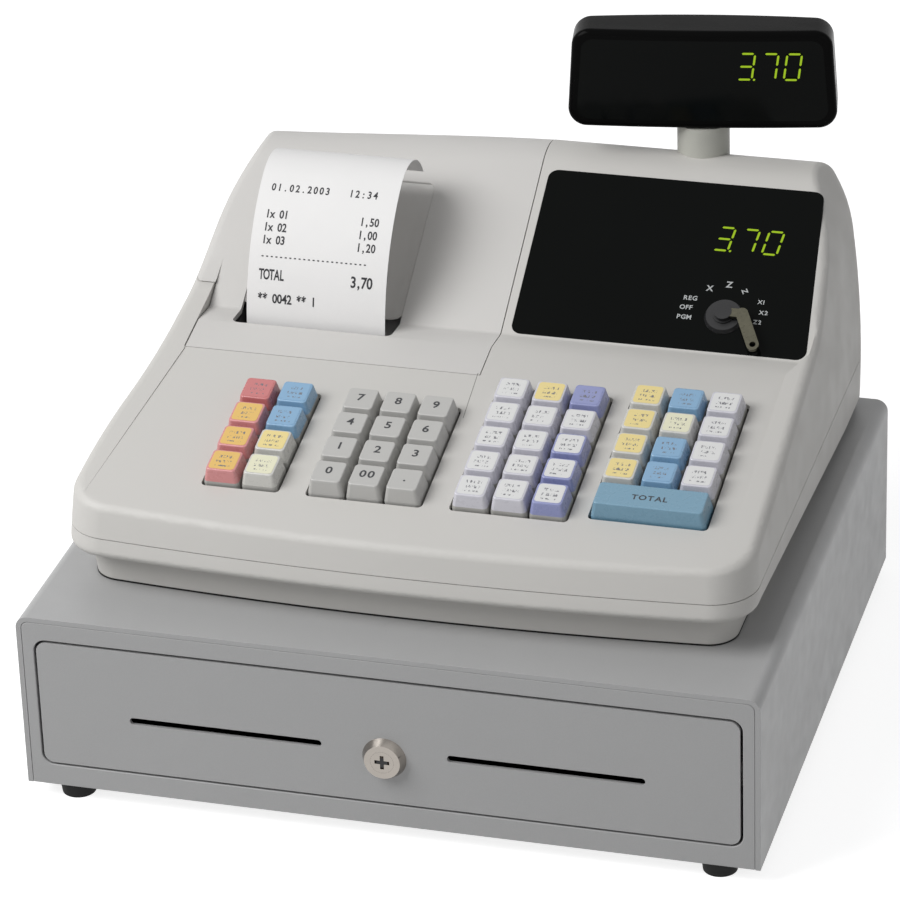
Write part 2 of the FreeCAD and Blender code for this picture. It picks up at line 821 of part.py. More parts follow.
def casing_profile(inset, base, ridge_in):
    """Side outline of the casing. At no inset the deck runs into the face as the side cheeks do;
    set in, it follows the lower keyboard panel and its ledge."""
    rise = face_rise()
    face = lowered((face_start, face_start_height), rise, inset)
    back = back_point(parting_height, inset)
    ridge = crossing(face, rise, back, 1 / back_lean)
    back_low = (back[0] - back_lean * (parting_height - base), base)
    if inset == 0:
        cheek = (deck_crest_height + cheek_rise - deck_start_height) / (deck_crest - deck_start)
        start = (deck_start, deck_start_height)
        front = (0, deck_start_height - cheek * deck_start)
        bend = crossing(start, cheek, face, rise)
        points = [(0, base), front, bend, ridge, back_low]
        return lift(points), [0, 0, cheek_blend_radius, ridge_in, 0]
    deck = math.tan(math.radians(deck_slope))
    ledge = (ledge_back_height - deck_crest_height) / (ledge_back - deck_crest)
    start = lowered((deck_start, deck_start_height), deck, inset)
    front = (0, start[1] - deck * deck_start)
    crest_line = lowered((deck_crest, deck_crest_height), ledge, inset)
    crest = crossing(start, deck, crest_line, ledge)
    valley = crossing(crest_line, ledge, face, rise)
    return lift([(0, base), front, crest, valley, ridge, back_low]), [0, 0, 0, 0, ridge_in, 0]


def casing_side(inset, base, left_part):
    """The casing's side outline carried across. Over the printer the ridge is rounder towards the
    left end, so that it falls a little."""
    if not left_part:
        points, radii = casing_profile(inset, base, ridge_radius - inset)
        return prism_yz(points, radii, -casing_width, casing_width)
    points, radii = casing_profile(inset, base, 0)
    side = prism_yz(points, radii, -half_casing - wall, cover_seam + 2 * wall)
    top = max(vertex.Z for vertex in side.Vertexes)
    ridge = [edge for edge in side.Edges if min(vertex.Z for vertex in edge.Vertexes) > top - fine_gap]
    start = ridge_radius_left - inset
    end = ridge_radius - inset
    if ridge[0].Vertexes[0].X > ridge[0].Vertexes[-1].X:
        start, end = end, start
    return side.makeFillet(start, end, ridge)


def panel_cutter():
    """What is taken off between the cheeks: the keyboard panel sinks a little towards its crest,
    runs level over a ledge and then follows the face."""
    deck = math.tan(math.radians(deck_slope))
    rise = face_rise()
    ledge_end = (face_start, face_start_height)
    ledge = (ledge_back_height - deck_crest_height) / (ledge_back - deck_crest)
    valley = crossing((deck_crest, deck_crest_height), ledge, ledge_end, rise)
    face_top = (valley[0] + panel_blend_length, valley[1] + rise * panel_blend_length)
    start = (deck_start, deck_start_height)
    points = [start, (deck_crest, deck_crest_height), valley, face_top,
              (face_top[0], face_top[1] + panel_blend_length), (start[0], face_top[1] + panel_blend_length)]
    side = prism_yz(lift(points), [0, 0, panel_edge_blend, 0, 0, 0], -half_casing, half_casing)
    slant = (panel_left_front - panel_left) / (panel_left_bend - deck_start)
    far = face_top[0] + overrun
    beside = window_right_low + window_surround
    plan = [(-panel_left_front, deck_start), (panel_right, deck_start), (panel_right, deck_crest),
            (beside, ledge_back), (beside, far),
            (-panel_left, far), (-panel_left_front + slant * (panel_left_bend - deck_start), panel_left_bend)]
    column = prism_xy(plan, [0] * 7, register_floor, register_floor + 2 * case_height)
    return side.common(column)


def middle_normal(face):
    """The direction a face looks in at its middle."""
    low_u, high_u, low_v, high_v = face.ParameterRange
    return face.normalAt((low_u + high_u) / 2, (low_v + high_v) / 2)


def casing_outer(left_part):
    """The upper casing as one solid with rounded shoulders."""
    side = casing_side(0, parting_height, left_part)
    hull = casing_hull(0, parting_height, parting_height + hull_height)
    body = side.common(hull)
    floor = register_floor + parting_height
    shoulder = []
    for edge in body.Edges:
        kinds = [type(face.Surface).__name__ for face in body.ancestorsOfType(edge, Part.Face)]
        above = max(vertex.Z for vertex in edge.Vertexes) > floor + seat_gap
        if kinds.count("BSplineSurface") == 1 and above:
            shoulder.append(edge)
    return body.makeFillet(edge_radius, shoulder).cut(panel_cutter())


def casing_inner(left_part):
    """The room inside the casing's walls."""
    side = casing_side(wall, parting_height - overrun, left_part)
    hull = casing_hull(wall, parting_height - overrun, parting_height + hull_height)
    return side.common(hull)


def cover_region(gap):
    """The room that the printer cover takes out of the casing, grown by a gap."""
    right = cover_seam + gap
    front = cover_front - gap
    high = register_floor + 2 * case_height
    low = register_floor + deck_start_height
    band = box(-panel_left - gap, right, front, cover_side_start + cover_overlap, low, high)
    side_low = register_floor + cover_side_height - gap
    crown = box(-casing_width, right, cover_side_start - gap, back_foot + casing_width, side_low, high)
    return join([band, crown])


def outlet_cutter():
    """The opening in the printer cover through which the receipt comes up."""
    return slab(-outlet_left, -outlet_right, outlet_front, outlet_back,
                register_floor + deck_start_height, register_floor + 2 * case_height, outlet_radius)


def hinge_line():
    """A point of the printer cover's hinge axis, just outside the back wall."""
    y, height = back_point(cover_side_height, 0)
    return V(0, y + hinge_stand_out, register_floor + height)


def hinge_places():
    """Middle of each hinge along the back."""
    first = cover_seam - hinge_from_seam
    return [first, first - hinge_spacing]


def knuckle_room(start, length):
    """Room in a wall for a knuckle of the hinge's other half."""
    return rod(hinge_line() + V(start, 0, 0), V(1, 0, 0), hinge_radius + body_gap, length)


def printer_cover(outer, inner):
    """Lift-up cover over the printer, with its two rear hinge knuckles."""
    cover = outer.common(cover_region(0)).cut(inner).cut(outlet_cutter())
    length = hinge_knuckle / 2 + 2 * body_gap
    for x in hinge_places():
        cover = cover.cut(knuckle_room(x + hinge_knuckle / 2, length))
        cover = cover.cut(knuckle_room(x - hinge_knuckle / 2 - length, length))
    axis = hinge_line()
    pieces = [cover]
    for x in hinge_places():
        knuckle = rod(axis + V(x - hinge_knuckle / 2, 0, 0), V(1, 0, 0), hinge_radius, hinge_knuckle)
        leaf = box(x - hinge_knuckle / 2, x + hinge_knuckle / 2, axis.y - hinge_stand_out - wall / 2,
                   axis.y + hinge_radius / 2, axis.z + body_gap, axis.z + hinge_radius * 2)
        pieces.append(knuckle)
        pieces.append(leaf)
    cover = join(pieces)
    for x in hinge_places():
        cover = cover.cut(rod(axis + V(x - hinge_knuckle, 0, 0), V(1, 0, 0), hinge_pin_radius + running_gap,
                              hinge_knuckle * 2))
    nodes["printer_cover"] = cover


def pad_rows():
    """Each key pad: name, first column's x, columns, rows."""
    return [("left", left_pad_x, 2, 4), ("number", number_pad_x, 3, 4),
            ("middle", middle_pad_x, 3, 5), ("right", right_pad_x, 3, 4)]


def pad_first_row(name):
    """Distance up the deck of a pad's lowest row of square keys."""
    if name == "right":
        return total_key_row + total_key_length / 2 + (key_pitch - key_base) + key_base / 2
    if name == "middle":
        return middle_bottom_row
    return bottom_row


def pad_opening(x, columns, rows, name):
    """The cut in the deck for one pad."""
    reach = key_base / 2 + key_opening_margin
    low = pad_first_row(name) - reach
    if name == "right":
        low = total_key_row - total_key_length / 2 - key_opening_margin
    high = pad_first_row(name) + (rows - 1) * key_pitch + reach
    return slab(x - reach, x + (columns - 1) * key_pitch + reach, low, high,
                -wall * 2, wall * 2, key_opening_radius)


def window_points(margin):
    """Outline of the display window on the face, set in by a margin."""
    return [(window_left + margin, margin), (window_right_low - margin, margin),
            (window_right_high - margin, window_length - margin), (window_left + margin, window_length - margin)]


def post_boss():
    """The socket for the display post, which bulges out of the back wall."""
    boss = rod(V(post_x, post_y, register_floor + post_boss_foot), V(0, 0, 1),
               post_radius + running_gap + post_boss_wall, post_boss_top + post_boss_wall)
    fall = math.tan(math.radians(post_boss_slope))
    front = post_y - post_radius
    reach = post_radius * 4
    points = [(front - reach, post_boss_foot), (front - reach, post_boss_top + fall * reach),
              (front + reach, post_boss_top - fall * reach), (front + reach, post_boss_foot)]
    points = [(y, max(height, post_boss_foot)) for y, height in points]
    under = prism_yz(lift(points), [0] * 4, post_x - reach, post_x + reach)
    return boss.common(under)


def upper_skin(outer, inner):
    """A block that starts at the inside of the walls, to trim what would reach through them."""
    block = box(-casing_width, casing_width, -overrun, casing_width + back_corner_radius,
                register_floor + parting_height - overrun, register_floor + 2 * case_height)
    return block.cut(inner)


def upper_case(outer, inner):
    """Upper case: keyboard deck, display face, sides and back."""
    shell = outer.cut(inner).cut(cover_region(seam_gap))
    for x in hinge_places():
        shell = shell.cut(knuckle_room(x - hinge_knuckle / 2 - body_gap, hinge_knuckle + 2 * body_gap))
    seam = cover_seam + seam_gap
    rib = box(seam, seam + wall, cover_front + overrun, back_foot - overrun,
              register_floor + parting_height, register_floor + 2 * case_height)
    pieces = [shell, rib.common(inner), post_boss()]
    for x, y in boss_places():
        foot = register_floor + wall + boss_height + seat_gap
        top = register_floor + deck_start_height + boss_radius
        pieces.append(rod(V(x, y, foot), V(0, 0, 1), boss_radius, top - foot).cut(upper_skin(outer, inner)))
    axis = hinge_line()
    for x in hinge_places():
        for side in (-1, 1):
            start = x + side * (hinge_knuckle / 2 + body_gap)
            end = start + side * hinge_knuckle / 2
            low = min(start, end)
            knuckle = rod(axis + V(low, 0, 0), V(1, 0, 0), hinge_radius, hinge_knuckle / 2)
            leaf = box(low, low + hinge_knuckle / 2, axis.y - hinge_stand_out - wall / 2,
                       axis.y + hinge_radius / 2, axis.z - hinge_radius * 2, axis.z - body_gap)
            pieces.append(knuckle)
            pieces.append(leaf)
        pieces.append(rod(axis + V(x - hinge_knuckle, 0, 0), V(1, 0, 0), hinge_pin_radius, hinge_knuckle * 2))
    case = join(pieces)
    case = case.cut(rod(V(post_x, post_y, register_floor), V(0, 0, 1), post_radius + running_gap,
                        2 * case_height))
    for x, y in boss_places():
        case = case.cut(rod(V(x, y, register_floor + wall), V(0, 0, 1), screw_radius + seat_gap / 2,
                            long_screw_length))
    for name, x, columns, rows in pad_rows():
        case = case.cut(on_deck(pad_opening(x, columns, rows, name)))
    pocket = prism_xy(window_points(0), [window_corner] * 4, -window_sheet, overrun)
    aperture = prism_xy(window_points(window_ledge), [window_corner / 2] * 4, -wall * 3, overrun)
    case = case.cut(on_face(pocket)).cut(on_face(aperture))
    solids = sorted(case.Solids, key=lambda solid: solid.Volume)
    nodes["upper_case"] = solids[-1]


def rim_region(inset, top):
    """Side shape of the lower case's rim, whose underside falls towards the back."""
    low = rim_start_height + inset
    end = rim_end_height + inset
    points = [(0, low), (rim_slope_start, low), (rim_slope_end, end), back_point(end, inset),
              back_point(top, inset), (0, top)]
    return prism_yz(lift(points), [0, rim_bend_radius, rim_bend_radius, 0, 0, 0], -casing_width, casing_width)


def foot_part(inset, low):
    """The part of the lower case that stands on the drawer, set in by inset."""
    top = rim_start_height + rim_edge_radius
    wires = [plan_outline(register_floor + height, half - inset, foot_part_front + inset,
                          front_bow_radius - inset, foot_part_corner - inset, foot_part_back - inset,
                          foot_part_corner - inset, 0)
             for height, half in ((low, foot_part_width / 2), (top, foot_part_width / 2 + foot_part_flare))]
    return Part.makeLoft(wires, True, True)


def lower_case():
    """Lower case: foot part on the drawer's top, and the rim that meets the upper case."""
    top = parting_height - parting_gap
    rim = casing_hull(0, rim_end_height - overrun, top).common(rim_region(0, top + overrun))
    edges = []
    for edge in rim.Edges:
        faces = rim.ancestorsOfType(edge, Part.Face)
        sides = [face for face in faces if abs(middle_normal(face).z) < 0.5]
        under = [face for face in faces if middle_normal(face).z < -0.9]
        if len(sides) == 1 and len(under) == 1:
            edges.append(edge)
    rim = rim.makeFillet(rim_edge_radius, edges)
    solid = join([foot_part(0, 0), rim])
    room = foot_part(wall, wall)
    rim_room = casing_hull(wall, rim_end_height, parting_height + overrun).common(
        rim_region(wall, parting_height + overrun * 2))
    case = solid.cut(room).cut(rim_room)
    pieces = [case]
    floor = register_floor + wall / 2
    for x, y in boss_places():
        pieces.append(rod(V(x, y, floor), V(0, 0, 1), boss_radius, boss_height + wall / 2))
    for x, y in board_holes():
        pieces.append(rod(V(x, y, floor), V(0, 0, 1), boss_radius, board_boss_height + wall / 2))
    case = join(pieces)
    for x, y in boss_places():
        case = case.cut(rod(V(x, y, register_floor - overrun), V(0, 0, 1), screw_radius + seat_gap / 2,
                            boss_height + 3 * overrun))
    hole = box(inlet_x - inlet_width / 2 - seat_gap, inlet_x + inlet_width / 2 + seat_gap,
               -inlet_height / 2 - seat_gap, inlet_height / 2 + seat_gap, -wall * 2, overrun)
    nodes["lower_case"] = case.cut(on_back(hole))


def on_back(shape):
    """Lays a shape on the back wall at the power inlet: its z stands out from the wall."""
    y, height = back_point(inlet_level, 0)
    lean = 90 + math.degrees(math.atan(back_lean))
    return on_slope(shape, -lean, y, register_floor + height)


def board_holes():
    """Places of the main board's four bosses."""
    inset = boss_radius
    return [(x, y) for x in (board_left + inset, board_right - inset)
            for y in (board_front + inset, board_back - inset)]


def electronics():
    """Main board, transformer and power inlet in the lower case."""
    z = register_floor + wall + board_boss_height
    board = box(board_left, board_right, board_front, board_back, z, z + board_sheet)
    pieces = [board]
    spacing = (board_right - board_left) / 4
    for i in range(3):
        x = board_left + spacing * (i + 1)
        y = (board_front + board_back) / 2 + (i - 1) * chip_size
        pieces.append(box(x - chip_size / 2, x + chip_size / 2, y - chip_size / 2, y + chip_size / 2,
                          z + board_sheet / 2, z + board_sheet + chip_height))
    nodes["main_board"] = join(pieces)

    z0 = register_floor + wall
    core = box(transformer_x - transformer_width / 2, transformer_x + transformer_width / 2,
               transformer_y - transformer_length / 4, transformer_y + transformer_length / 4,
               z0, z0 + transformer_height)
    coil_low = z0 + (transformer_height - coil_height) / 2
    coil = slab(transformer_x - transformer_width / 2 + coil_overhang,
                transformer_x + transformer_width / 2 - coil_overhang,
                transformer_y - transformer_length / 2, transformer_y + transformer_length / 2,
                coil_low, coil_low + coil_height, coil_overhang)
    nodes["transformer"] = join([core, coil])

    plate = slab(inlet_x - inlet_width / 2 - inlet_flange, inlet_x + inlet_width / 2 + inlet_flange,
                 -inlet_height / 2 - inlet_flange, inlet_height / 2 + inlet_flange,
                 seat_gap, inlet_flange_sheet, inlet_flange)
    sleeve = box(inlet_x - inlet_width / 2, inlet_x + inlet_width / 2, -inlet_height / 2, inlet_height / 2,
                 -inlet_depth, inlet_flange_sheet / 2)
    socket = box(inlet_x - inlet_width / 2 + inlet_wall, inlet_x + inlet_width / 2 - inlet_wall,
                 -inlet_height / 2 + inlet_wall, inlet_height / 2 - inlet_wall,
                 -inlet_depth + inlet_wall, inlet_flange_sheet + overrun)
    pins = [rod(V(inlet_x + side * inlet_pin_spacing / 2, 0, -inlet_depth + inlet_wall / 2), V(0, 0, 1),
                inlet_pin_radius, inlet_depth - inlet_wall) for side in (-1, 1)]
    nodes["power_inlet"] = on_back(join([join([plate, sleeve]).cut(socket)] + pins))


def window_and_switch():
    """Display window, display board, mode switch, rotor and its key."""
    window = prism_xy(window_points(seat_gap), [window_corner - seat_gap] * 4, -window_sheet + seat_gap, 0)
    hole = rod(V(switch_x, switch_up, -wall), V(0, 0, 1), switch_barrel_radius + seat_gap, wall * 2)
    nodes["display_window"] = on_face(window.cut(hole))

    x0 = digits_x - display_board_width / 2
    low = digits_up - display_board_length / 2
    board = box(x0, x0 + display_board_width, low, low + display_board_length,
                -display_board_drop - display_board_sheet, -display_board_drop)
    digits = box(digits_x - digit_block_width / 2, digits_x + digit_block_width / 2,
                 digits_up - digit_block_length / 2, digits_up + digit_block_length / 2,
                 -display_board_drop - display_board_sheet / 2, -display_board_drop + digit_block_height)
    pegs = [rod(V(x, y, -display_board_drop - display_board_sheet / 2), V(0, 0, 1), peg_radius,
                display_board_drop + display_board_sheet / 2 - window_sheet)
            for x in (x0 + peg_radius * 2, x0 + display_board_width - peg_radius * 2)
            for y in (low + peg_radius * 2, low + display_board_length - peg_radius * 2)]
    nodes["display_board"] = on_face(join([board, digits] + pegs))

    ring = Part.makeCone(switch_ring_radius, switch_ring_radius - switch_ring_height / 2,
                         switch_ring_height, V(switch_x, switch_up, seat_gap / 2))
    barrel = rod(V(switch_x, switch_up, -switch_barrel_length), V(0, 0, 1), switch_barrel_radius,
                 switch_barrel_length + switch_ring_height)
    bore = rod(V(switch_x, switch_up, -switch_barrel_length + wall), V(0, 0, 1), rotor_radius + running_gap,
               switch_barrel_length + overrun * 2)
    nodes["mode_switch"] = on_face(join([ring, barrel]).cut(bore))

    rotor_low = -switch_barrel_length + wall + seat_gap
    rotor = rod(V(switch_x, switch_up, rotor_low), V(0, 0, 1), rotor_radius,
                switch_ring_height + rotor_stand - rotor_low)
    slot = box(switch_x - rotor_slot_length / 2, switch_x + rotor_slot_length / 2,
               switch_up - rotor_slot_width / 2, switch_up + rotor_slot_width / 2,
               -switch_barrel_length / 2, switch_ring_height + overrun * 2)
    slot_cutter_shape = slot.copy()
    slot_cutter_shape.rotate(V(switch_x, switch_up, 0), V(0, 0, 1), -mode_key_grip_turn)
    nodes["mode_rotor"] = on_face(rotor.cut(slot_cutter_shape))
    nodes["mode_key"] = on_face(mode_key())


def mode_key():
    """A flat cranked key: blade in the rotor, hub, neck and a grip that hangs to the lower right."""
    top = switch_ring_height + rotor_stand
    low = top + mode_key_stand - mode_key_sheet
    blade = box(switch_x - rotor_slot_length / 2 + seat_gap, switch_x + rotor_slot_length / 2 - seat_gap,
                switch_up - rotor_slot_width / 2 + seat_gap, switch_up + rotor_slot_width / 2 - seat_gap,
                -switch_barrel_length / 2 + seat_gap, low + mode_key_sheet / 2)
    blade.rotate(V(switch_x, switch_up, 0), V(0, 0, 1), -mode_key_grip_turn)
    hub = rod(V(switch_x, switch_up, top + seat_gap), V(0, 0, 1), mode_key_hub_radius, mode_key_stand)
    pivot = switch_x + mode_key_arm
    neck = box(switch_x, pivot, switch_up - mode_key_neck_width / 2, switch_up + mode_key_neck_width / 2,
               low, low + mode_key_sheet)
    grip = slab(pivot - mode_key_grip_width / 2, pivot + mode_key_grip_length,
                switch_up - mode_key_grip_width / 2, switch_up + mode_key_grip_width / 2,
                low, low + mode_key_sheet, mode_key_grip_width / 2 - seat_gap)
    grip.rotate(V(pivot, switch_up, 0), V(0, 0, 1), -mode_key_grip_turn)
    turn = math.radians(mode_key_grip_turn)
    reach = mode_key_grip_length - mode_key_grip_width / 2
    eye = rod(V(pivot + reach * math.cos(turn), switch_up - reach * math.sin(turn), low - wall),
              V(0, 0, 1), mode_key_hole, wall * 3)
    return join([blade, hub, neck, grip]).cut(eye)


def key_cap(x, y, width, length):
    """One key: tapered cap, hollow skirt and the stem that runs in the key frame."""
    slope_x = (key_base - key_top_width) / 2
    slope_y = (key_base - key_top_length) / 2
    corners = rectangle(x - width / 2, x + width / 2, y - length / 2, y + length / 2)
    top = rectangle(x - width / 2 + slope_x, x + width / 2 - slope_x, y - length / 2 + slope_y,
                    y + length / 2 - slope_y)
    low_wire = outline(corners, [key_corner] * 4, lambda a, b: V(a, b, 0))
    high_wire = outline(top, [key_top_corner] * 4, lambda a, b: V(a, b, key_height))
    cap = Part.makeLoft([low_wire, high_wire], True, True)
    crown = [edge for edge in cap.Edges
             if min(vertex.Z for vertex in edge.Vertexes) > key_height - fine_gap]
    cap = cap.makeFillet(key_top_edge, crown)
    skirt = prism_xy(corners, [key_corner] * 4, -key_skirt, 0)
    room = slab(x - width / 2 + key_skirt_wall, x + width / 2 - key_skirt_wall,
                y - length / 2 + key_skirt_wall, y + length / 2 - key_skirt_wall,
                -key_skirt - overrun, -key_skirt_wall, key_corner / 2)
    stem = box(x - key_stem / 2, x + key_stem / 2, y - key_stem / 2, y + key_stem / 2,
               -key_skirt - key_stem_length, -key_skirt_wall / 2)
    return join([cap, skirt.cut(room), stem])


def key_places():
    """Every square key: pad, column, row, x and distance up the deck. Row 0 is the lowest."""
    places = []
    for name, x, columns, rows in pad_rows():
        for column in range(columns):
            for row in range(rows):
                places.append((name, column, row, x + column * key_pitch, pad_first_row(name) + row * key_pitch))
    return places


def total_key_place():
    """Middle of the wide total key and its width."""
    return right_pad_x + key_pitch, total_key_row, key_base + 2 * key_pitch


def keys():
    """Number keys one by one, the wide total key, and the function keys column by column."""
    number_names = [["0", "1", "4", "7"], ["00", "2", "5", "8"], ["point", "3", "6", "9"]]
    columns = {}
    for name, column, row, x, y in key_places():
        key = on_deck(key_cap(x, y, key_base, key_base))
        if name == "number":
            nodes["key_" + number_names[column][row]] = key
        else:
            columns.setdefault("keys_%s_%d" % (name, column + 1), []).append(key)
    for name in columns:
        nodes[name] = group(columns[name])
    x, y, width = total_key_place()
    nodes["key_total"] = on_deck(key_cap(x, y, width, total_key_length))


def key_frame():
    """Plate with a guide hole for each stem, on pillars under the deck, and the membrane below it."""
    reach = key_base / 2 + key_frame_margin
    left = left_pad_x - reach
    right = right_pad_x + 2 * key_pitch + reach
    low = bottom_row - reach
    high = pad_first_row("right") + 3 * key_pitch + reach
    top = -key_frame_drop
    plate = box(left, right, low, high, top - key_frame_sheet, top)
    room = key_stem / 2 + key_stem_gap
    holes = [box(x - room, x + room, y - room, y + room, top - key_frame_sheet - overrun, top + overrun)
             for name, column, row, x, y in key_places()]
    x, y, width = total_key_place()
    holes.append(box(x - room, x + room, y - room, y + room, top - key_frame_sheet - overrun, top + overrun))
    plate = plate.cut(holes)
    pieces = [plate]
    gap_left = (left_pad_x + key_pitch + number_pad_x) / 2
    gap_middle = (number_pad_x + 2 * key_pitch + middle_pad_x) / 2
    gap_right = (middle_pad_x + 2 * key_pitch + right_pad_x) / 2
    edge = key_frame_pillar
    for x in (left + edge, gap_left, gap_middle, gap_right, right - edge):
        for y in (low + edge, high - edge):
            pieces.append(rod(V(x, y, -membrane_drop + membrane_sheet), V(0, 0, 1), key_frame_pillar,
                              membrane_drop - membrane_sheet - wall - seat_gap))
    nodes["key_frame"] = on_deck(join(pieces))
    nodes["key_membrane"] = on_deck(box(left, right, low, high - key_frame_pillar, -membrane_drop,
                                        -membrane_drop + membrane_sheet - seat_gap))


def gear(teeth, x, y, z, width, bore):
    """A spur gear across x, with a tooth pointing along +Y."""
    pitch_radius = gear_module * teeth / 2
    tip = pitch_radius + gear_module - gear_tip_drop * 2
    root = pitch_radius - gear_root_drop
    step = 2 * math.pi / teeth
    points = []
    for i in range(teeth):
        middle = i * step
        for radius, share in ((root, -tooth_root_share), (tip, -tooth_tip_share),
                              (tip, tooth_tip_share), (root, tooth_root_share)):
            angle = middle + share * step
            points.append((y + radius * math.cos(angle), z + radius * math.sin(angle)))
    blank = prism_yz(points, [0] * len(points), x, x + width)
    if bore > 0:
        blank = blank.cut(rod(V(x - overrun, y, z), V(1, 0, 0), bore, width + 2 * overrun))
    return blank


def pinion_centre():
    """The pinion lies at 45 degrees below and behind the platen's axis."""
    distance = gear_module * (platen_teeth + pinion_teeth) / 2
    step = distance * math.sqrt(0.5)
    return platen_y + step, register_floor + platen_height - step


def printer():
    """Printer frame, platen, gears, motor and paper roll."""
    floor = register_floor + wall
    left = -printer_middle - printer_half_width
    right = -printer_middle + printer_half_width
    rise = face_rise()
    face_low = face_start_height + rise * (ramp_front - face_start)
    face_high = face_start_height + rise * (ramp_back - face_start)
    ramp_low = register_floor + face_low - ramp_drop
    ramp_high = register_floor + face_high - ramp_back_drop
    ramp_rise = (ramp_high - ramp_low) / (ramp_back - ramp_front)
    side = [(printer_front, floor), (printer_front, register_floor + printer_front_top),
            (ramp_front - roll_core_radius, ramp_low - ramp_sheet * 2), (ramp_back, ramp_high - ramp_sheet),
            (printer_back, ramp_high - ramp_sheet), (printer_back, floor)]
    plates = [prism_yz(side, [0] * 6, left - printer_plate, left),
              prism_yz(side, [0] * 6, right, right + printer_plate)]
    ramp = prism_yz([(ramp_front, ramp_low - ramp_sheet), (ramp_front, ramp_low), (ramp_back, ramp_high),
                     (ramp_back, ramp_high - ramp_sheet)], [0] * 4, left - seat_gap, right + seat_gap)
    trough_in = roll_radius + trough_gap
    trough_out = trough_in + trough_wall
    roll_z = register_floor + roll_height
    ring = tube(V(left - seat_gap, roll_y, roll_z), V(1, 0, 0), trough_out, trough_in,
                right - left + 2 * seat_gap)
    lower_half = box(left - overrun, right + overrun, roll_y - trough_out, roll_y + trough_out,
                     floor, roll_z - roll_radius / 2)
    front_wall = box(left - seat_gap, right + seat_gap, printer_front, printer_front + printer_plate, floor,
                     register_floor + printer_front_top - platen_radius)
    tie = box(left - seat_gap, right + seat_gap, roll_y - roll_core_radius, roll_y + roll_core_radius, floor,
              roll_z - trough_in - trough_wall / 2)
    frame = join(plates + [ramp, ring.common(lower_half), front_wall, tie])
    platen_z = register_floor + platen_height
    shaft_hole = rod(V(left - printer_plate - overrun, platen_y, platen_z), V(1, 0, 0),
                     platen_shaft_radius + running_gap, right - left + 2 * printer_plate + 2 * overrun)
    pinion_y, pinion_z = pinion_centre()
    pinion_hole = rod(V(right - overrun, pinion_y, pinion_z), V(1, 0, 0),
                      pinion_shaft_radius + running_gap, printer_plate + 2 * overrun)
    nodes["printer_frame"] = frame.cut(shaft_hole).cut(pinion_hole)

    shaft = rod(V(left - printer_plate, platen_y, platen_z), V(1, 0, 0), platen_shaft_radius,
                right - left + 2 * printer_plate + gear_gap + gear_width)
    rubber = tube(V(-paper_middle - platen_length / 2, platen_y, platen_z), V(1, 0, 0), platen_radius,
                  platen_shaft_radius, platen_length)
    nodes["platen_roller"] = join([shaft, rubber])
    gear_x = right + printer_plate + gear_gap
    nodes["platen_gear"] = gear(platen_teeth, gear_x, platen_y, platen_z, gear_width, platen_shaft_radius)

    pinion = gear(pinion_teeth, gear_x, pinion_y, pinion_z, gear_width, 0)
    pin = rod(V(right - motor_length + wall, pinion_y, pinion_z), V(1, 0, 0), pinion_shaft_radius,
              motor_length - wall + printer_plate + gear_gap + gear_width / 2)
    nodes["motor_pinion"] = join([pinion, pin])
    motor = rod(V(right - motor_length, pinion_y, pinion_z), V(1, 0, 0), motor_radius, motor_length)
    ear = slab(pinion_y - motor_radius - motor_ear, pinion_y + motor_radius + motor_ear,
               pinion_z - motor_radius / 2, pinion_z + motor_radius / 2, right - printer_plate, right,
               motor_ear)
    turned = ear.copy()
    turned.Placement = FreeCAD.Placement(V(0, 0, 0), FreeCAD.Rotation(V(1, 1, 1), 120))
    motor_bore = rod(V(right - motor_length + wall - seat_gap, pinion_y, pinion_z), V(1, 0, 0),
                     pinion_shaft_radius + running_gap, motor_length)
    nodes["feed_motor"] = join([motor, turned]).cut(motor_bore)

    roll_x = -paper_middle - roll_width / 2
    nodes["paper_roll"] = tube(V(roll_x, roll_y, roll_z), V(1, 0, 0), roll_radius, roll_core_radius
                               - roll_core_wall, roll_width)


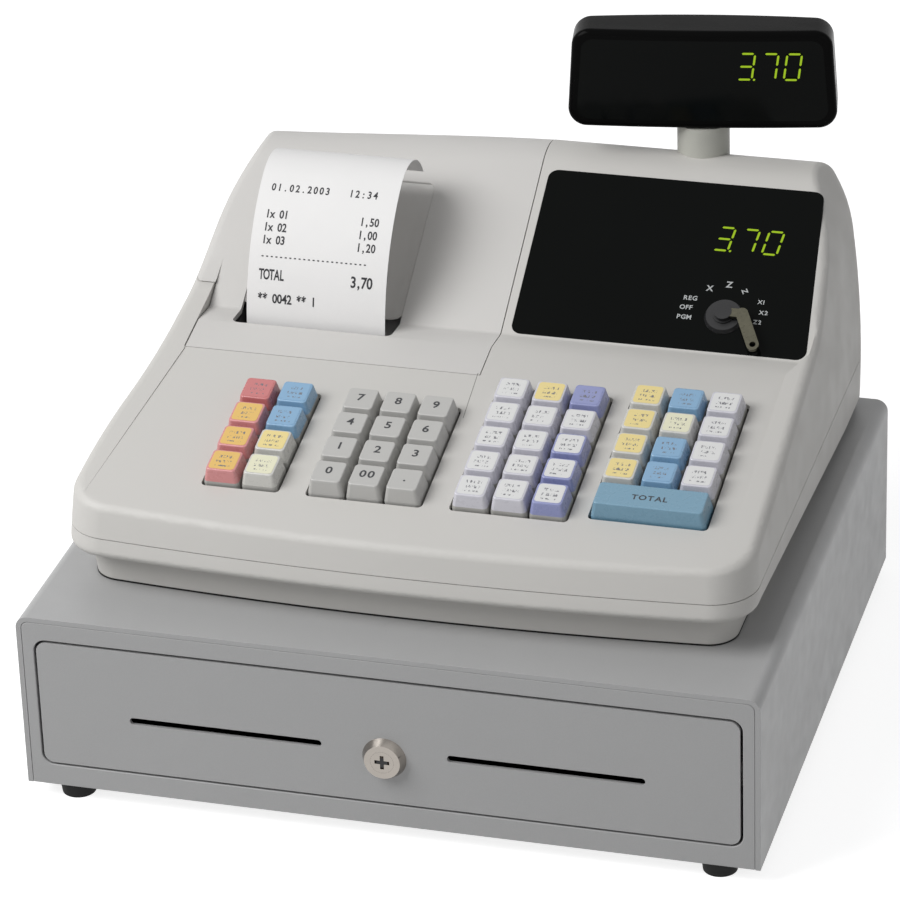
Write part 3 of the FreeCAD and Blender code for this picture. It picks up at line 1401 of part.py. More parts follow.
def receipt():
    """The paper from the roll, round the platen, up through the outlet and over in a curl."""
    platen_z = register_floor + platen_height
    roll_z = register_floor + roll_height
    r_roll = roll_radius + paper_gap + paper_sheet / 2
    r_platen = platen_radius + paper_gap + paper_sheet / 2
    along = V(0, platen_y - roll_y, platen_z - roll_z)
    reach = math.asin((r_roll + r_platen) / along.Length)
    normal = math.atan2(along.z, along.y) - (math.pi / 2 - reach)
    leave = V(0, roll_y + r_roll * math.cos(normal), roll_z + r_roll * math.sin(normal))
    meet = V(0, platen_y - r_platen * math.cos(normal), platen_z - r_platen * math.sin(normal))
    turn = (normal + math.pi + math.pi) / 2
    under = V(0, platen_y + r_platen * math.cos(turn), platen_z + r_platen * math.sin(turn))
    side = V(0, platen_y - r_platen, platen_z)
    rise = V(0, side.y, platen_z + paper_rise)
    bend = math.radians(paper_bend_turn)
    r = paper_bend_radius
    half = V(0, rise.y + r * (1 - math.cos(bend / 2)), rise.z + r * math.sin(bend / 2))
    top = V(0, rise.y + r * (1 - math.cos(bend)), rise.z + r * math.sin(bend))
    c = paper_curl_radius
    centre = V(0, top.y + c * math.cos(bend), top.z - c * math.sin(bend))
    start = math.pi - bend
    curl = math.radians(paper_curl_turn)
    crown = V(0, centre.y + c * math.cos(start - curl / 2), centre.z + c * math.sin(start - curl / 2))
    tip = V(0, centre.y + c * math.cos(start - curl), centre.z + c * math.sin(start - curl))
    path = Part.Wire([Part.LineSegment(leave, meet).toShape(), Part.Arc(meet, under, side).toShape(),
                      Part.LineSegment(side, rise).toShape(), Part.Arc(rise, half, top).toShape(),
                      Part.Arc(top, crown, tip).toShape()])
    strip = path.makeOffset2D(paper_sheet / 2, 0, False, True)
    other = path.makeOffset2D(-paper_sheet / 2, 0, False, True)
    caps = [Part.LineSegment(strip.OrderedVertexes[0].Point, other.OrderedVertexes[0].Point).toShape(),
            Part.LineSegment(strip.OrderedVertexes[-1].Point, other.OrderedVertexes[-1].Point).toShape()]
    wire = Part.Wire(Part.__sortEdges__(strip.Edges + other.Edges + caps))
    sheet = Part.Face(wire).extrude(V(paper_width, 0, 0))
    sheet.translate(V(paper_left, 0, 0))
    nodes["receipt_paper"] = sheet


def head_outline(margin, corner, y0, y1):
    """Front outline of the customer display, wider at its foot, carried from y0 to y1."""
    low = head_width_low / 2 - margin
    high = head_width_high / 2 - margin
    z0 = register_floor + head_height + margin
    z1 = register_floor + head_height + head_size_up - margin
    return prism_xz([(-low, z0), (low, z0), (high, z1), (-high, z1)], [corner] * 4, y0, y1)


def head_plan(margin, front_margin):
    """Plan of the customer display with a bowed front and back."""
    half = head_width_low / 2 + overrun
    front = -head_depth / 2 + front_margin
    back = head_depth / 2 - margin
    z = register_floor + head_height - overrun
    front_arc = Part.Arc(V(-half, front + head_front_bow, z), V(0, front, z), V(half, front + head_front_bow, z))
    back_arc = Part.Arc(V(half, back - head_back_bow, z), V(0, back, z), V(-half, back - head_back_bow, z))
    sides = [Part.LineSegment(V(half, front + head_front_bow, z), V(half, back - head_back_bow, z)),
             Part.LineSegment(V(-half, back - head_back_bow, z), V(-half, front + head_front_bow, z))]
    wire = Part.Wire([front_arc.toShape(), sides[0].toShape(), back_arc.toShape(), sides[1].toShape()])
    return Part.Face(wire).extrude(V(0, 0, head_size_up + 2 * overrun))


def customer_display():
    """Post, and the head that turns on it: shell, window and board."""
    reach = head_depth
    solid = head_outline(0, head_corner, -reach, reach).common(head_plan(0, 0))
    rims = []
    for edge in solid.Edges:
        kinds = [face for face in solid.ancestorsOfType(edge, Part.Face)
                 if abs(middle_normal(face).y) > 0.5]
        if len(kinds) == 1:
            rims.append(edge)
    solid = solid.makeFillet(head_edge, rims)
    inner = head_outline(head_wall, head_corner - head_wall, -reach, reach).common(
        head_plan(head_wall, head_window_sheet + head_wall))
    aperture = head_outline(head_window_margin, head_window_corner, -reach, 0)
    pane = aperture.common(head_plan(0, seat_gap)).cut(head_plan(-overrun, head_window_sheet))
    socket_z = register_floor + head_height
    neck = rod(V(0, 0, socket_z), V(0, 0, 1), spigot_radius + running_gap + spigot_wall,
               head_socket + head_wall)
    shell = solid.cut(inner).cut(aperture)
    shell = join([shell, neck.common(inner)])
    shell = shell.cut(rod(V(0, 0, socket_z - overrun), V(0, 0, 1), spigot_radius + running_gap,
                          head_socket + overrun))
    ledge = head_outline(head_wall / 2, head_corner - head_wall / 2, -reach, reach).common(
        head_plan(0, head_window_sheet + seat_gap)).cut(head_plan(-overrun, head_window_sheet + head_wall))
    ledge = ledge.cut(head_outline(head_window_margin + head_wall, head_window_corner, -reach, reach))
    shell = join([shell, ledge])
    y = -head_depth / 2 + head_window_sheet + head_board_gap
    z = register_floor + head_height + head_size_up / 2
    board = box(-head_board_width / 2, head_board_width / 2, y, y + head_board_sheet,
                z - head_board_height / 2, z + head_board_height / 2)
    pegs = [rod(V(side * (head_board_width / 2 - peg_radius * 2), y, z), V(0, -1, 0), peg_radius,
                head_board_gap - head_front_bow / 2) for side in (-1, 1)]
    board = join([board] + pegs).cut(pane)
    for name, shape in (("customer_shell", shell), ("customer_window", pane), ("customer_board", board)):
        shape.rotate(V(0, 0, 0), V(0, 0, 1), head_yaw)
        shape.translate(V(post_x, post_y, 0))
        nodes[name] = shape
    foot = register_floor + post_foot_height
    shoulder = register_floor + head_height - body_gap
    barrel = tube(V(post_x, post_y, foot), V(0, 0, 1), post_radius, post_radius - post_wall,
                  shoulder - foot)
    lid = rod(V(post_x, post_y, shoulder - post_wall), V(0, 0, 1), post_radius - post_wall / 2, post_wall)
    spigot = rod(V(post_x, post_y, shoulder - post_wall), V(0, 0, 1), spigot_radius,
                 post_wall + head_socket)
    bore = rod(V(post_x, post_y, foot - overrun), V(0, 0, 1), spigot_radius - spigot_wall,
               shoulder - foot + head_socket + overrun * 2)
    nodes["display_post"] = join([barrel, lid, spigot]).cut(bore)


def main():
    """Makes every piece and writes one file for each."""
    drawer_case()
    drawer_unit()
    latch()
    printer_cover(casing_outer(True), casing_inner(True))
    outer = casing_outer(False)
    inner = casing_inner(False)
    upper_case(outer, inner)
    lower_case()
    electronics()
    window_and_switch()
    keys()
    key_frame()
    printer()
    receipt()
    customer_display()
    os.makedirs("parts", exist_ok=True)
    for name in nodes:
        shape = nodes[name].copy()
        shape.translate(V(0, -middle_y, 0))
        shape.exportStep("parts/%s.step" % name)
        print(name, len(shape.Solids), shape.isValid(), round(shape.Volume))
    print("nodes", len(nodes))


main()
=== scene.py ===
"""Looks of the ticket register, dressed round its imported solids.

The register is an ABS casing with a keyboard, a receipt printer, an operator display with its mode
switch and a turning customer display, standing on a painted steel cash drawer.
"""

import json
import logging
import math
from collections.abc import Callable, Iterable, Iterator, Sequence
from contextlib import contextmanager
from dataclasses import dataclass, field
from enum import Enum

import bpy
from mathutils import Matrix, Vector

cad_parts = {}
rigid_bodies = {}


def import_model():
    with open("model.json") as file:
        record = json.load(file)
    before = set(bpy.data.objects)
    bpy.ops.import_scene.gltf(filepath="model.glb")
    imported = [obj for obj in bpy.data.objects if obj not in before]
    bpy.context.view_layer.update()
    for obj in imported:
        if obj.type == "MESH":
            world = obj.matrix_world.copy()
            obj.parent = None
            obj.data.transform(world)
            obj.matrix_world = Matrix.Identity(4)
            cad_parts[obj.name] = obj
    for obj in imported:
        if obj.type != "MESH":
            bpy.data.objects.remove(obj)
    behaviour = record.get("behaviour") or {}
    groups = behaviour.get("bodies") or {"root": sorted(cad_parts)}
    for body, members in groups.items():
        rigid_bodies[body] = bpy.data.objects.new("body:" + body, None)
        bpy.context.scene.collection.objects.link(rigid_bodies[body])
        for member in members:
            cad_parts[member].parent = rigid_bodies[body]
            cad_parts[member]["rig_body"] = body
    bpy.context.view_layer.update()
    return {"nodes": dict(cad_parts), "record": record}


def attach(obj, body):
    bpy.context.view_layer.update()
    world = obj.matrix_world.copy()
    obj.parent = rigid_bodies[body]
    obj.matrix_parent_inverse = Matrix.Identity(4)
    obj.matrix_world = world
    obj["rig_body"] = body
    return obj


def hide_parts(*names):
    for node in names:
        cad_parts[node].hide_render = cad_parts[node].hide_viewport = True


Piece = bpy.types.Object
Tree = bpy.types.NodeTree
Socket = bpy.types.NodeSocket
Colour = tuple[float, float, float, float]

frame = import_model()

LOG = logging.getLogger("ticket_register")
MM = 0.001
MIDDLE_Y = 159.3898  # from the drawer's face to the middle of the outline, mm
PROUD = 0.02  # how far lit segments and legends stand off a window, mm
CASE_FLOOR = 8.0  # the drawer's underside above the counter, mm
REGISTER_FLOOR = 97.0  # the drawer's top above the counter, mm


def shifted(x: float, y: float, z: float) -> Matrix:
    """Gives a shift by lengths in mm."""
    return Matrix.Translation(Vector((x, y, z)) * MM)


def turned(degrees: float, axis: str) -> Matrix:
    """Gives a turn about one of the axes."""
    return Matrix.Rotation(math.radians(degrees), 4, axis)


# ---------------------------------------------------------------- colours and shader nodes


def linear(code: str) -> Colour:
    """Turns an sRGB hex colour into linear light.

    Args:
        code: the colour as "#RRGGBB".

    Returns:
        Linear red, green, blue and an opaque alpha.
    """
    parts = [int(code[i:i + 2], 16) / 255 for i in (1, 3, 5)]
    light = [p / 12.92 if p <= 0.04045 else ((p + 0.055) / 1.055) ** 2.4 for p in parts]
    return light[0], light[1], light[2], 1.0


def shaded(code: str, share: float) -> Colour:
    """Gives a hex colour made darker by a share of its light.

    Args:
        code: the colour as "#RRGGBB".
        share: how much of the light is taken away, 0 to 1.

    Returns:
        The darker colour in linear light.
    """
    red, green, blue, alpha = linear(code)
    keep = 1.0 - share
    return red * keep, green * keep, blue * keep, alpha


def add_node(tree: Tree, kind: str, settings: dict[str, object] | None = None,
             links: dict[str, Socket] | None = None) -> bpy.types.Node:
    """Adds one shader node with its settings and its links.

    Args:
        tree: the material's or world's node tree.
        kind: Blender's name of the node type.
        settings: values by the name of an attribute or, where there is none, of an input.
        links: source sockets by the name of the input they feed.

    Returns:
        The new node.
    """
    node = tree.nodes.new(kind)
    for name, value in (settings or {}).items():
        if hasattr(node, name):
            setattr(node, name, value)
        else:
            node.inputs[int(name[1:]) if name[0] == "#" else name].default_value = value
    for name, source in (links or {}).items():
        tree.links.new(source, node.inputs[int(name[1:]) if name[0] == "#" else name])
    return node


def computed(tree: Tree, operation: str,
             *terms: float | Socket) -> Socket:
    """Adds one sum to a shader.

    Args:
        tree: the tree it is for.
        operation: Blender's name of the sum.
        terms: its inputs in their order, each a number or a source socket.

    Returns:
        The result.
    """
    named = {f"#{i}": term for i, term in enumerate(terms)}
    numbers = {name: term for name, term in named.items() if isinstance(term, float)}
    sockets = {name: term for name, term in named.items() if not isinstance(term, float)}
    return add_node(tree, "ShaderNodeMath", {"operation": operation} | numbers, sockets).outputs[0]


def per_mm(size: float) -> float:
    """Gives a pattern's scale on coordinates in metres from its real size in millimetres."""
    return 1.0 / (size * MM)


# ---------------------------------------------------------------- finishes


@dataclass
class Mixing:
    """A material being made: its tree, its shader and the piece's own coordinates."""

    material: bpy.types.Material
    tree: Tree
    shader: bpy.types.Node
    place: Socket

    def put(self, name: str, source: Socket) -> None:
        """Feeds one of the shader's inputs."""
        self.tree.links.new(source, self.shader.inputs[name])

    def stretched(self, scale: tuple[float, float, float]) -> Socket:
        """Gives the coordinates drawn out along an axis by a scale below one."""
        drawn = add_node(self.tree, "ShaderNodeMapping", {"Scale": scale}, {"Vector": self.place})
        return drawn.outputs["Vector"]

    def cloud(self, patch: float, detail: float, place: Socket | None = None,
              roughness: float = 0.5) -> Socket:
        """Adds a soft noise.

        Args:
            patch: size of one patch in mm.
            detail: how many finer layers it has.
            place: the coordinates that it follows, or none for the piece's own.
            roughness: how much the finer layers count.

        Returns:
            The noise, about 0.3 to 0.7.
        """
        settings = {"Scale": per_mm(patch), "Detail": detail, "Roughness": roughness}
        noise = add_node(self.tree, "ShaderNodeTexNoise", settings, {"Vector": place or self.place})
        return noise.outputs["Fac"]

    def ranged(self, value: Socket, start: tuple[float, float],
               end: tuple[float, float]) -> Socket:
        """Maps a value from one range to another.

        Args:
            value: the value.
            start: its range.
            end: the new range.

        Returns:
            The mapped value.
        """
        settings = {"From Min": start[0], "From Max": start[1], "To Min": end[0], "To Max": end[1]}
        mapped = add_node(self.tree, "ShaderNodeMapRange", settings, {"Value": value})
        return mapped.outputs["Result"]

    def blend(self, share: Socket, first: Colour,
              second: Colour) -> Socket:
        """Blends two colours.

        Args:
            share: the second colour's share, 0 to 1.
            first: one colour in linear light.
            second: the other one.

        Returns:
            The blended colour.
        """
        settings = {"data_type": "RGBA", "#6": first, "#7": second}
        return add_node(self.tree, "ShaderNodeMix", settings, {"#0": share}).outputs[2]

    def drift(self, colour: str, share: float, patch: float) -> Socket:
        """Lets a colour drift a little over soft patches, as a moulded or painted surface does.

        Args:
            colour: the finish's colour.
            share: how much darker the darkest patch is.
            patch: size of a patch in mm.

        Returns:
            The drifting colour.
        """
        cloud = self.cloud(patch, 3.0, roughness=0.55)
        return self.blend(cloud, linear(colour), shaded(colour, share))

    def wander(self, low: float, high: float, patch: float, place: Socket | None = None) -> None:
        """Lets the roughness wander between two values, so that gloss breaks up.

        Args:
            low: the smoothest value.
            high: the roughest value.
            patch: size of a patch in mm.
            place: the coordinates that it follows, or none for the piece's own.
        """
        self.put("Roughness", self.ranged(self.cloud(patch, 2.0, place), (0.3, 0.7), (low, high)))

    def grain(self, grain: float, depth: float, strength: float,
              place: Socket | None = None) -> None:
        """Raises a fine grain on the surface.

        Args:
            grain: width of one grain in mm.
            depth: its height in mm.
            strength: how much of it shows.
            place: the coordinates that it follows, or none for the piece's own.
        """
        bump = add_node(self.tree, "ShaderNodeBump", {"Strength": strength, "Distance": depth * MM},
                        {"Height": self.cloud(grain, 2.0, place, 0.6)})
        self.put("Normal", bump.outputs["Normal"])


@dataclass(frozen=True)
class Finish:
    """A finish: its real name, its colour and how rough its surface is."""

    name: str
    colour: str
    roughness: float = 0.5

    def blank(self, settings: dict[str, float] | None = None) -> Mixing:
        """Starts a material with a shader and the piece's own coordinates.

        Args:
            settings: values of the shader's other inputs, by their names.

        Returns:
            The material being made.
        """
        material = bpy.data.materials.new(self.name)
        material.use_nodes = True
        tree = material.node_tree
        tree.nodes.clear()
        plain = {"Roughness": self.roughness, "Base Color": linear(self.colour)}
        shader = add_node(tree, "ShaderNodeBsdfPrincipled", plain | (settings or {}))
        add_node(tree, "ShaderNodeOutputMaterial", None, {"Surface": shader.outputs["BSDF"]})
        return Mixing(material, tree, shader, add_node(tree, "ShaderNodeTexCoord").outputs["Object"])

    def material(self) -> bpy.types.Material:
        """Gives the finish's material, made once."""
        found = bpy.data.materials.get(self.name)
        return found if found else self.make().material

    def make(self) -> Mixing:
        """Makes the material; each kind of finish has its own."""
        raise NotImplementedError(self.name)


@dataclass(frozen=True)
class MouldedPlastic(Finish):
    """ABS from a spark-eroded mould: a fine even grain that spreads every highlight softly.

    The real grain is about 0.1 mm; it is drawn several times coarser so that it shows."""

    def make(self) -> Mixing:
        """Makes the grained plastic.

        Returns:
            The material being made.
        """
        mixing = self.blank({"Specular IOR Level": 0.4, "IOR": 1.53})
        mixing.put("Base Color", mixing.drift(self.colour, 0.045, 90.0))
        mixing.wander(self.roughness - 0.05, self.roughness + 0.07, 14.0)
        mixing.grain(0.55, 0.05, 0.22)
        return mixing


@dataclass(frozen=True)
class PaintedSteel(Finish):
    """Sheet steel under baked satin paint: a soft orange peel and a cool, even sheen."""

    def make(self) -> Mixing:
        """Makes the satin paint with its orange peel and fine pigment specks.

        Returns:
            The material being made.
        """
        mixing = self.blank({"IOR": 1.5, "Coat Weight": 0.12, "Coat Roughness": 0.35})
        base = mixing.drift(self.colour, 0.05, 70.0)
        level = mixing.ranged(mixing.cloud(0.5, 1.0), (0.35, 0.65), (0.955, 1.0))
        grey = add_node(mixing.tree, "ShaderNodeCombineColor", None,
                        {name: level for name in ("Red", "Green", "Blue")})
        settings = {"data_type": "RGBA", "blend_type": "MULTIPLY", "#0": 1.0}
        toned = add_node(mixing.tree, "ShaderNodeMix", settings, {"#6": base, "#7": grey.outputs["Color"]})
        mixing.put("Base Color", toned.outputs[2])
        mixing.wander(self.roughness - 0.04, self.roughness + 0.06, 9.0)
        mixing.grain(1.6, 0.05, 0.16)
        return mixing


@dataclass(frozen=True)
class KeyPlastic(Finish):
    """Polished key-cap plastic: smooth, a little waxy, bright along its rounded edges."""

    def make(self) -> Mixing:
        """Makes the smooth cap plastic with faint handling marks.

        Returns:
            The material being made.
        """
        mixing = self.blank({"IOR": 1.52, "Coat Weight": 0.25, "Coat Roughness": 0.18})
        mixing.put("Base Color", mixing.drift(self.colour, 0.05, 26.0))
        mixing.wander(self.roughness - 0.08, self.roughness + 0.08, 3.5)
        mixing.grain(0.9, 0.02, 0.12)
        return mixing


@dataclass(frozen=True)
class LabelPrint(Finish):
    """Printed label under a clear cap: a flat colour with rows of tiny dark marks.

    The marks stand for a printed legend too small to read; they follow the label's own map."""

    ink: str = "#66666C"
    rows: float = 3.6
    cover: float = 0.46
    strokes: float = 11.0
    row_step: float = 7.3
    row_half: float = 0.27
    block_half: float = 0.36
    line_half: float = 0.3

    def make(self) -> Mixing:
        """Makes the label's colour and its rows of marks.

        Returns:
            The material being made.
        """
        mixing = self.blank({"IOR": 1.5, "Coat Weight": 0.35, "Coat Roughness": 0.15})
        tree = mixing.tree
        chart = add_node(tree, "ShaderNodeUVMap", {"uv_map": "label"})
        split = add_node(tree, "ShaderNodeSeparateXYZ", None, {"Vector": chart.outputs["UV"]})
        across, up = split.outputs["X"], split.outputs["Y"]
        lifted = computed(tree, "MULTIPLY", up, self.rows)
        row = computed(tree, "FLOOR", lifted)
        along = computed(tree, "MULTIPLY", across, self.strokes)
        level = computed(tree, "MULTIPLY_ADD", row, self.row_step, lifted)
        spot = add_node(tree, "ShaderNodeCombineXYZ", None, {"X": along, "Y": level})
        strokes = add_node(tree, "ShaderNodeTexNoise", {"Scale": 1.0, "Detail": 3.0, "Roughness": 0.75},
                           {"Vector": spot.outputs["Vector"]})
        shown = computed(tree, "GREATER_THAN", strokes.outputs["Fac"], 1.0 - self.cover)
        for place, half in ((computed(tree, "FRACT", lifted), self.row_half), (up, self.block_half),
                            (computed(tree, "FRACT", across), self.line_half)):
            shown = computed(tree, "MULTIPLY", shown, computed(tree, "COMPARE", place, 0.5, half))
        mixing.put("Base Color", mixing.blend(shown, linear(self.colour), linear(self.ink)))
        return mixing


@dataclass(frozen=True)
class BlackAcrylic(Finish):
    """Smoked acrylic or polished black ABS: near black, with a clear but weak reflection."""

    specular: float = 0.05

    def make(self) -> Mixing:
        """Makes the polished black with faint wipe marks.

        Returns:
            The material being made.
        """
        mixing = self.blank({"IOR": 1.49, "Specular IOR Level": self.specular})
        mixing.put("Base Color", mixing.drift(self.colour, 0.3, 60.0))
        mixing.wander(self.roughness * 0.7, self.roughness * 1.5, 12.0, mixing.stretched((0.25, 1.0, 1.0)))
        mixing.grain(40.0, 0.05, 0.08)
        return mixing


@dataclass(frozen=True)
class Metal(Finish):
    """Bare metal, brushed, plated or polished: reflections drawn out along its working lines."""

    lines: tuple[float, float, float] = (1.0, 1.0, 1.0)
    strength: float = 0.12

    def make(self) -> Mixing:
        """Makes the metal with its working lines.

        Returns:
            The material being made.
        """
        mixing = self.blank({"Metallic": 1.0})
        drawn = mixing.stretched(self.lines)
        mixing.put("Base Color", mixing.drift(self.colour, 0.12, 12.0))
        mixing.wander(self.roughness * 0.7, self.roughness * 1.35, 1.2, drawn)
        mixing.grain(0.4, 0.02, self.strength, drawn)
        return mixing


@dataclass(frozen=True)
class MouldedRubber(Finish):
    """Moulded rubber: dull and soft, paler where dust sits in it."""

    def make(self) -> Mixing:
        """Makes the dull rubber.

        Returns:
            The material being made.
        """
        mixing = self.blank({"Specular IOR Level": 0.3})
        mixing.put("Base Color", mixing.drift(self.colour, 0.35, 8.0))
        mixing.grain(0.8, 0.08, 0.35)
        return mixing


@dataclass(frozen=True)
class ThermalPaper(Finish):
    """Coated till-roll paper: white and smooth, with the faint fibre of the sheet."""

    def make(self) -> Mixing:
        """Makes the paper with its fibres.

        Returns:
            The material being made.
        """
        mixing = self.blank({"Specular IOR Level": 0.25})
        mixing.put("Base Color", mixing.drift(self.colour, 0.035, 22.0))
        mixing.grain(0.7, 0.03, 0.3, mixing.stretched((1.0, 0.35, 0.35)))
        return mixing


@dataclass(frozen=True)
class Ink(Finish):
    """Printed or moulded lettering: a flat dark or pale ink, slightly uneven in its density."""

    def make(self) -> Mixing:
        """Makes the ink.

        Returns:
            The material being made.
        """
        mixing = self.blank()
        mixing.put("Base Color", mixing.drift(self.colour, 0.3, 1.1))
        return mixing


@dataclass(frozen=True)
class LitSegment(Finish):
    """A glowing vacuum-fluorescent segment: yellow-green, uneven like the mesh that lies over it."""

    def make(self) -> Mixing:
        """Makes the glowing segment.

        Returns:
            The material being made.
        """
        mixing = self.blank({"Base Color": (0.0, 0.0, 0.0, 1.0), "Specular IOR Level": 0.1,
                             "Emission Strength": 1.0})
        mixing.put("Emission Color", mixing.drift(self.colour, 0.22, 0.9))
        return mixing


@dataclass(frozen=True)
class CircuitBoard(Finish):
    """Fibreglass board under green solder mask, with copper tracks showing paler through it."""

    tracks: str = "#4E8A5C"

    def make(self) -> Mixing:
        """Makes the mask and its tracks.

        Returns:
            The material being made.
        """
        mixing = self.blank()
        tracks = add_node(mixing.tree, "ShaderNodeTexBrick",
                          {"Scale": per_mm(6.0), "Mortar Size": 0.08, "Color1": linear(self.colour),
                           "Color2": shaded(self.colour, 0.15), "Mortar": linear(self.tracks)},
                          {"Vector": mixing.place})
        mixing.put("Base Color", tracks.outputs["Color"])
        mixing.grain(1.5, 0.05, 0.2)
        return mixing


CASE = MouldedPlastic("moulded_abs_casing", "#C6C4C0", 0.52)
COVER = MouldedPlastic("moulded_abs_cover", "#C9C7C4", 0.52)
# a little darker than the casing plastic, and darker still with the display head's shadow painted into its
# colour
POST = MouldedPlastic("moulded_abs_post", "#B4B4AC", 0.5)
TRAY = MouldedPlastic("moulded_tray_plastic", "#1D1D1F", 0.5)
DARK = MouldedPlastic("moulded_dark_plastic", "#131315", 0.42)
GEAR = MouldedPlastic("acetal_gear_plastic", "#DAD8CE", 0.4)
DRAWER = PaintedSteel("satin_painted_steel", "#A7A7A7", 0.42)
COIL = PaintedSteel("painted_coil_casing", "#3C3C40", 0.45)
ZINC = Metal("zinc_plated_steel", "#A9AAA8", 0.36, (0.12, 1.0, 1.0))
BRIGHT = Metal("bright_steel", "#B9B9B6", 0.28)
# set darker and warmer than bare chrome: a painted reflection of surroundings darker than the white
# background
CHROME = Metal("polished_chrome", "#A39D96", 0.14, strength=0.05)
KEY_METAL = Metal("nickel_silver_key", "#5C5A4E", 0.35)
FOOT = MouldedRubber("moulded_foot_rubber", "#151515", 0.75)
GREY_RUBBER = MouldedRubber("moulded_grey_rubber", "#55565A", 0.7)
BOARD = CircuitBoard("green_circuit_board", "#1E5A34", 0.45)
WINDOW = BlackAcrylic("smoked_acrylic_window", "#0A0C0B", 0.08)
SHELL = BlackAcrylic("polished_black_shell", "#090909", 0.24, 0.03)
PAPER = ThermalPaper("coated_roll_paper", "#E6E5E4", 0.6)
NUMBER_CAP = KeyPlastic("grey_key_cap", "#B6B5B2", 0.38)
CAP_SKIRT = KeyPlastic("key_skirt_plastic", "#A9A8A4", 0.45)
DARK_INK = Ink("dark_printed_ink", "#2E2F33", 0.5)
PRINT_INK = Ink("thermal_print", "#26262A", 0.7)
PALE_INK = Ink("pale_printed_ink", "#B9BCBC", 0.6)
SEAM = Ink("shadowed_seam", "#8A8984", 0.8)
LIT = LitSegment("lit_display_segment", "#A3C624", 0.3)


# ---------------------------------------------------------------- the bench: modelling by hand


class Bench:
    """Modelling steps as done by hand, each acting on one piece at a time."""

    @staticmethod
    @contextmanager
    def editing(piece: Piece) -> Iterator[None]:
        """Opens a piece in edit mode with all of it selected, and closes it afterwards.

        Args:
            piece: the piece, in object mode.

        Yields:
            Nothing; the piece is open meanwhile.
        """
        Bench.alone(piece)
        bpy.ops.object.mode_set(mode="EDIT")
        bpy.ops.mesh.select_all(action="SELECT")
        yield
        bpy.ops.object.mode_set(mode="OBJECT")

    @staticmethod
    def alone(piece: Piece) -> None:
        """Selects one piece and nothing else, and makes it the active one.

        Args:
            piece: the piece.
        """
        bpy.ops.object.select_all(action="DESELECT")
        piece.select_set(True)
        bpy.context.view_layer.objects.active = piece

    @staticmethod
    def block(name: str, size: Sequence[float], centre: Sequence[float] = (0.0, 0.0, 0.0)) -> Piece:
        """Starts a piece from a block.

        Args:
            name: the piece's name.
            size: its width, depth and height in mm.
            centre: its middle in mm.

        Returns:
            The block, with its size and place in its mesh.
        """
        bpy.ops.object.select_all(action="DESELECT")
        bpy.ops.mesh.primitive_cube_add(size=1.0, location=Vector(centre), scale=Vector(size))
        piece = bpy.context.object
        piece.name = name
        bpy.ops.object.transform_apply(location=True, rotation=True, scale=True)
        return piece

    @staticmethod
    def pick_edges(piece: Piece, wanted: Callable[[Vector, Vector], bool]) -> None:
        """Selects the edges that a test picks by their two ends.

        Args:
            piece: the piece, in object mode.
            wanted: the test on an edge's two ends.
        """
        for part in (piece.data.vertices, piece.data.edges, piece.data.polygons):
            part.foreach_set("select", [False] * len(part))
        for edge in piece.data.edges:
            a, b = (piece.data.vertices[i].co for i in edge.vertices)
            edge.select = wanted(a, b)

    @staticmethod
    def bevel(piece: Piece, width: float, steps: int,
              wanted: Callable[[Vector, Vector], bool]) -> None:
        """Rounds chosen edges in edit mode.

        Args:
            piece: the piece.
            width: the rounding's radius.
            steps: segments across the rounding.
            wanted: the test on an edge's two ends.
        """
        Bench.alone(piece)
        bpy.ops.object.mode_set(mode="EDIT")
        bpy.ops.mesh.select_mode(type="EDGE")
        bpy.ops.object.mode_set(mode="OBJECT")
        Bench.pick_edges(piece, wanted)
        bpy.ops.object.mode_set(mode="EDIT")
        bpy.ops.mesh.bevel(offset=width, segments=steps, affect="EDGES")
        bpy.ops.object.mode_set(mode="OBJECT")

    @staticmethod
    def plate(name: str, size: Sequence[float], radius: float, steps: int,
              centre: Sequence[float] = (0.0, 0.0, 0.0)) -> Piece:
        """Models a flat plate with rounded corners.

        Args:
            name: the piece's name.
            size: its width, depth and thickness in mm.
            radius: radius of its corners.
            steps: segments across a corner.
            centre: its middle in mm.

        Returns:
            The plate.
        """
        plate = Bench.block(name, size, centre)
        Bench.bevel(plate, radius, steps, lambda a, b: abs(a.z - b.z) > size[2] / 2)
        return plate

    @staticmethod
    def merged(piece: Piece, gap: float) -> None:
        """Merges a piece's doubled points.

        Args:
            piece: the piece.
            gap: points nearer than this become one.
        """
        with Bench.editing(piece):
            bpy.ops.mesh.remove_doubles(threshold=gap)

    @staticmethod
    def smooth(piece: Piece, angle: float = 30.0) -> None:
        """Shades a piece smooth except over its sharp edges, with wide faces keeping flat.

        Args:
            piece: the piece.
            angle: edges sharper than this stay sharp, degrees.
        """
        Bench.alone(piece)
        bpy.ops.object.shade_smooth_by_angle(angle=math.radians(angle))
        weighted = piece.modifiers.new("weighted", "WEIGHTED_NORMAL")
        weighted.keep_sharp = True
        bpy.ops.object.modifier_apply(modifier=weighted.name)

    @staticmethod
    def joined(name: str, parts: Iterable[Piece]) -> Piece:
        """Joins parts into one piece.

        Args:
            name: the new piece's name.
            parts: the parts, which are used up.

        Returns:
            The joined piece.
        """
        parts = list(parts)
        Bench.alone(parts[0])
        for part in parts:
            part.select_set(True)
        if len(parts) > 1:
            bpy.ops.object.join()
        parts[0].name = name
        return parts[0]

    @staticmethod
    def copied(piece: Piece, name: str, place: Matrix) -> Piece:
        """Copies a piece with its own mesh and puts the copy in its place.

        Args:
            piece: the piece to copy.
            name: the copy's name.
            place: where the copy goes.

        Returns:
            The copy, with its place in its mesh.
        """
        mesh = piece.data.copy()
        mesh.transform(place)
        copy = bpy.data.objects.new(name, mesh)
        bpy.context.scene.collection.objects.link(copy)
        return copy

    @staticmethod
    def across(piece: Piece) -> tuple[float, float]:
        """Gives the lowest and the highest x of a piece's mesh."""
        wide = [v.co.x for v in piece.data.vertices]
        return min(wide), max(wide)

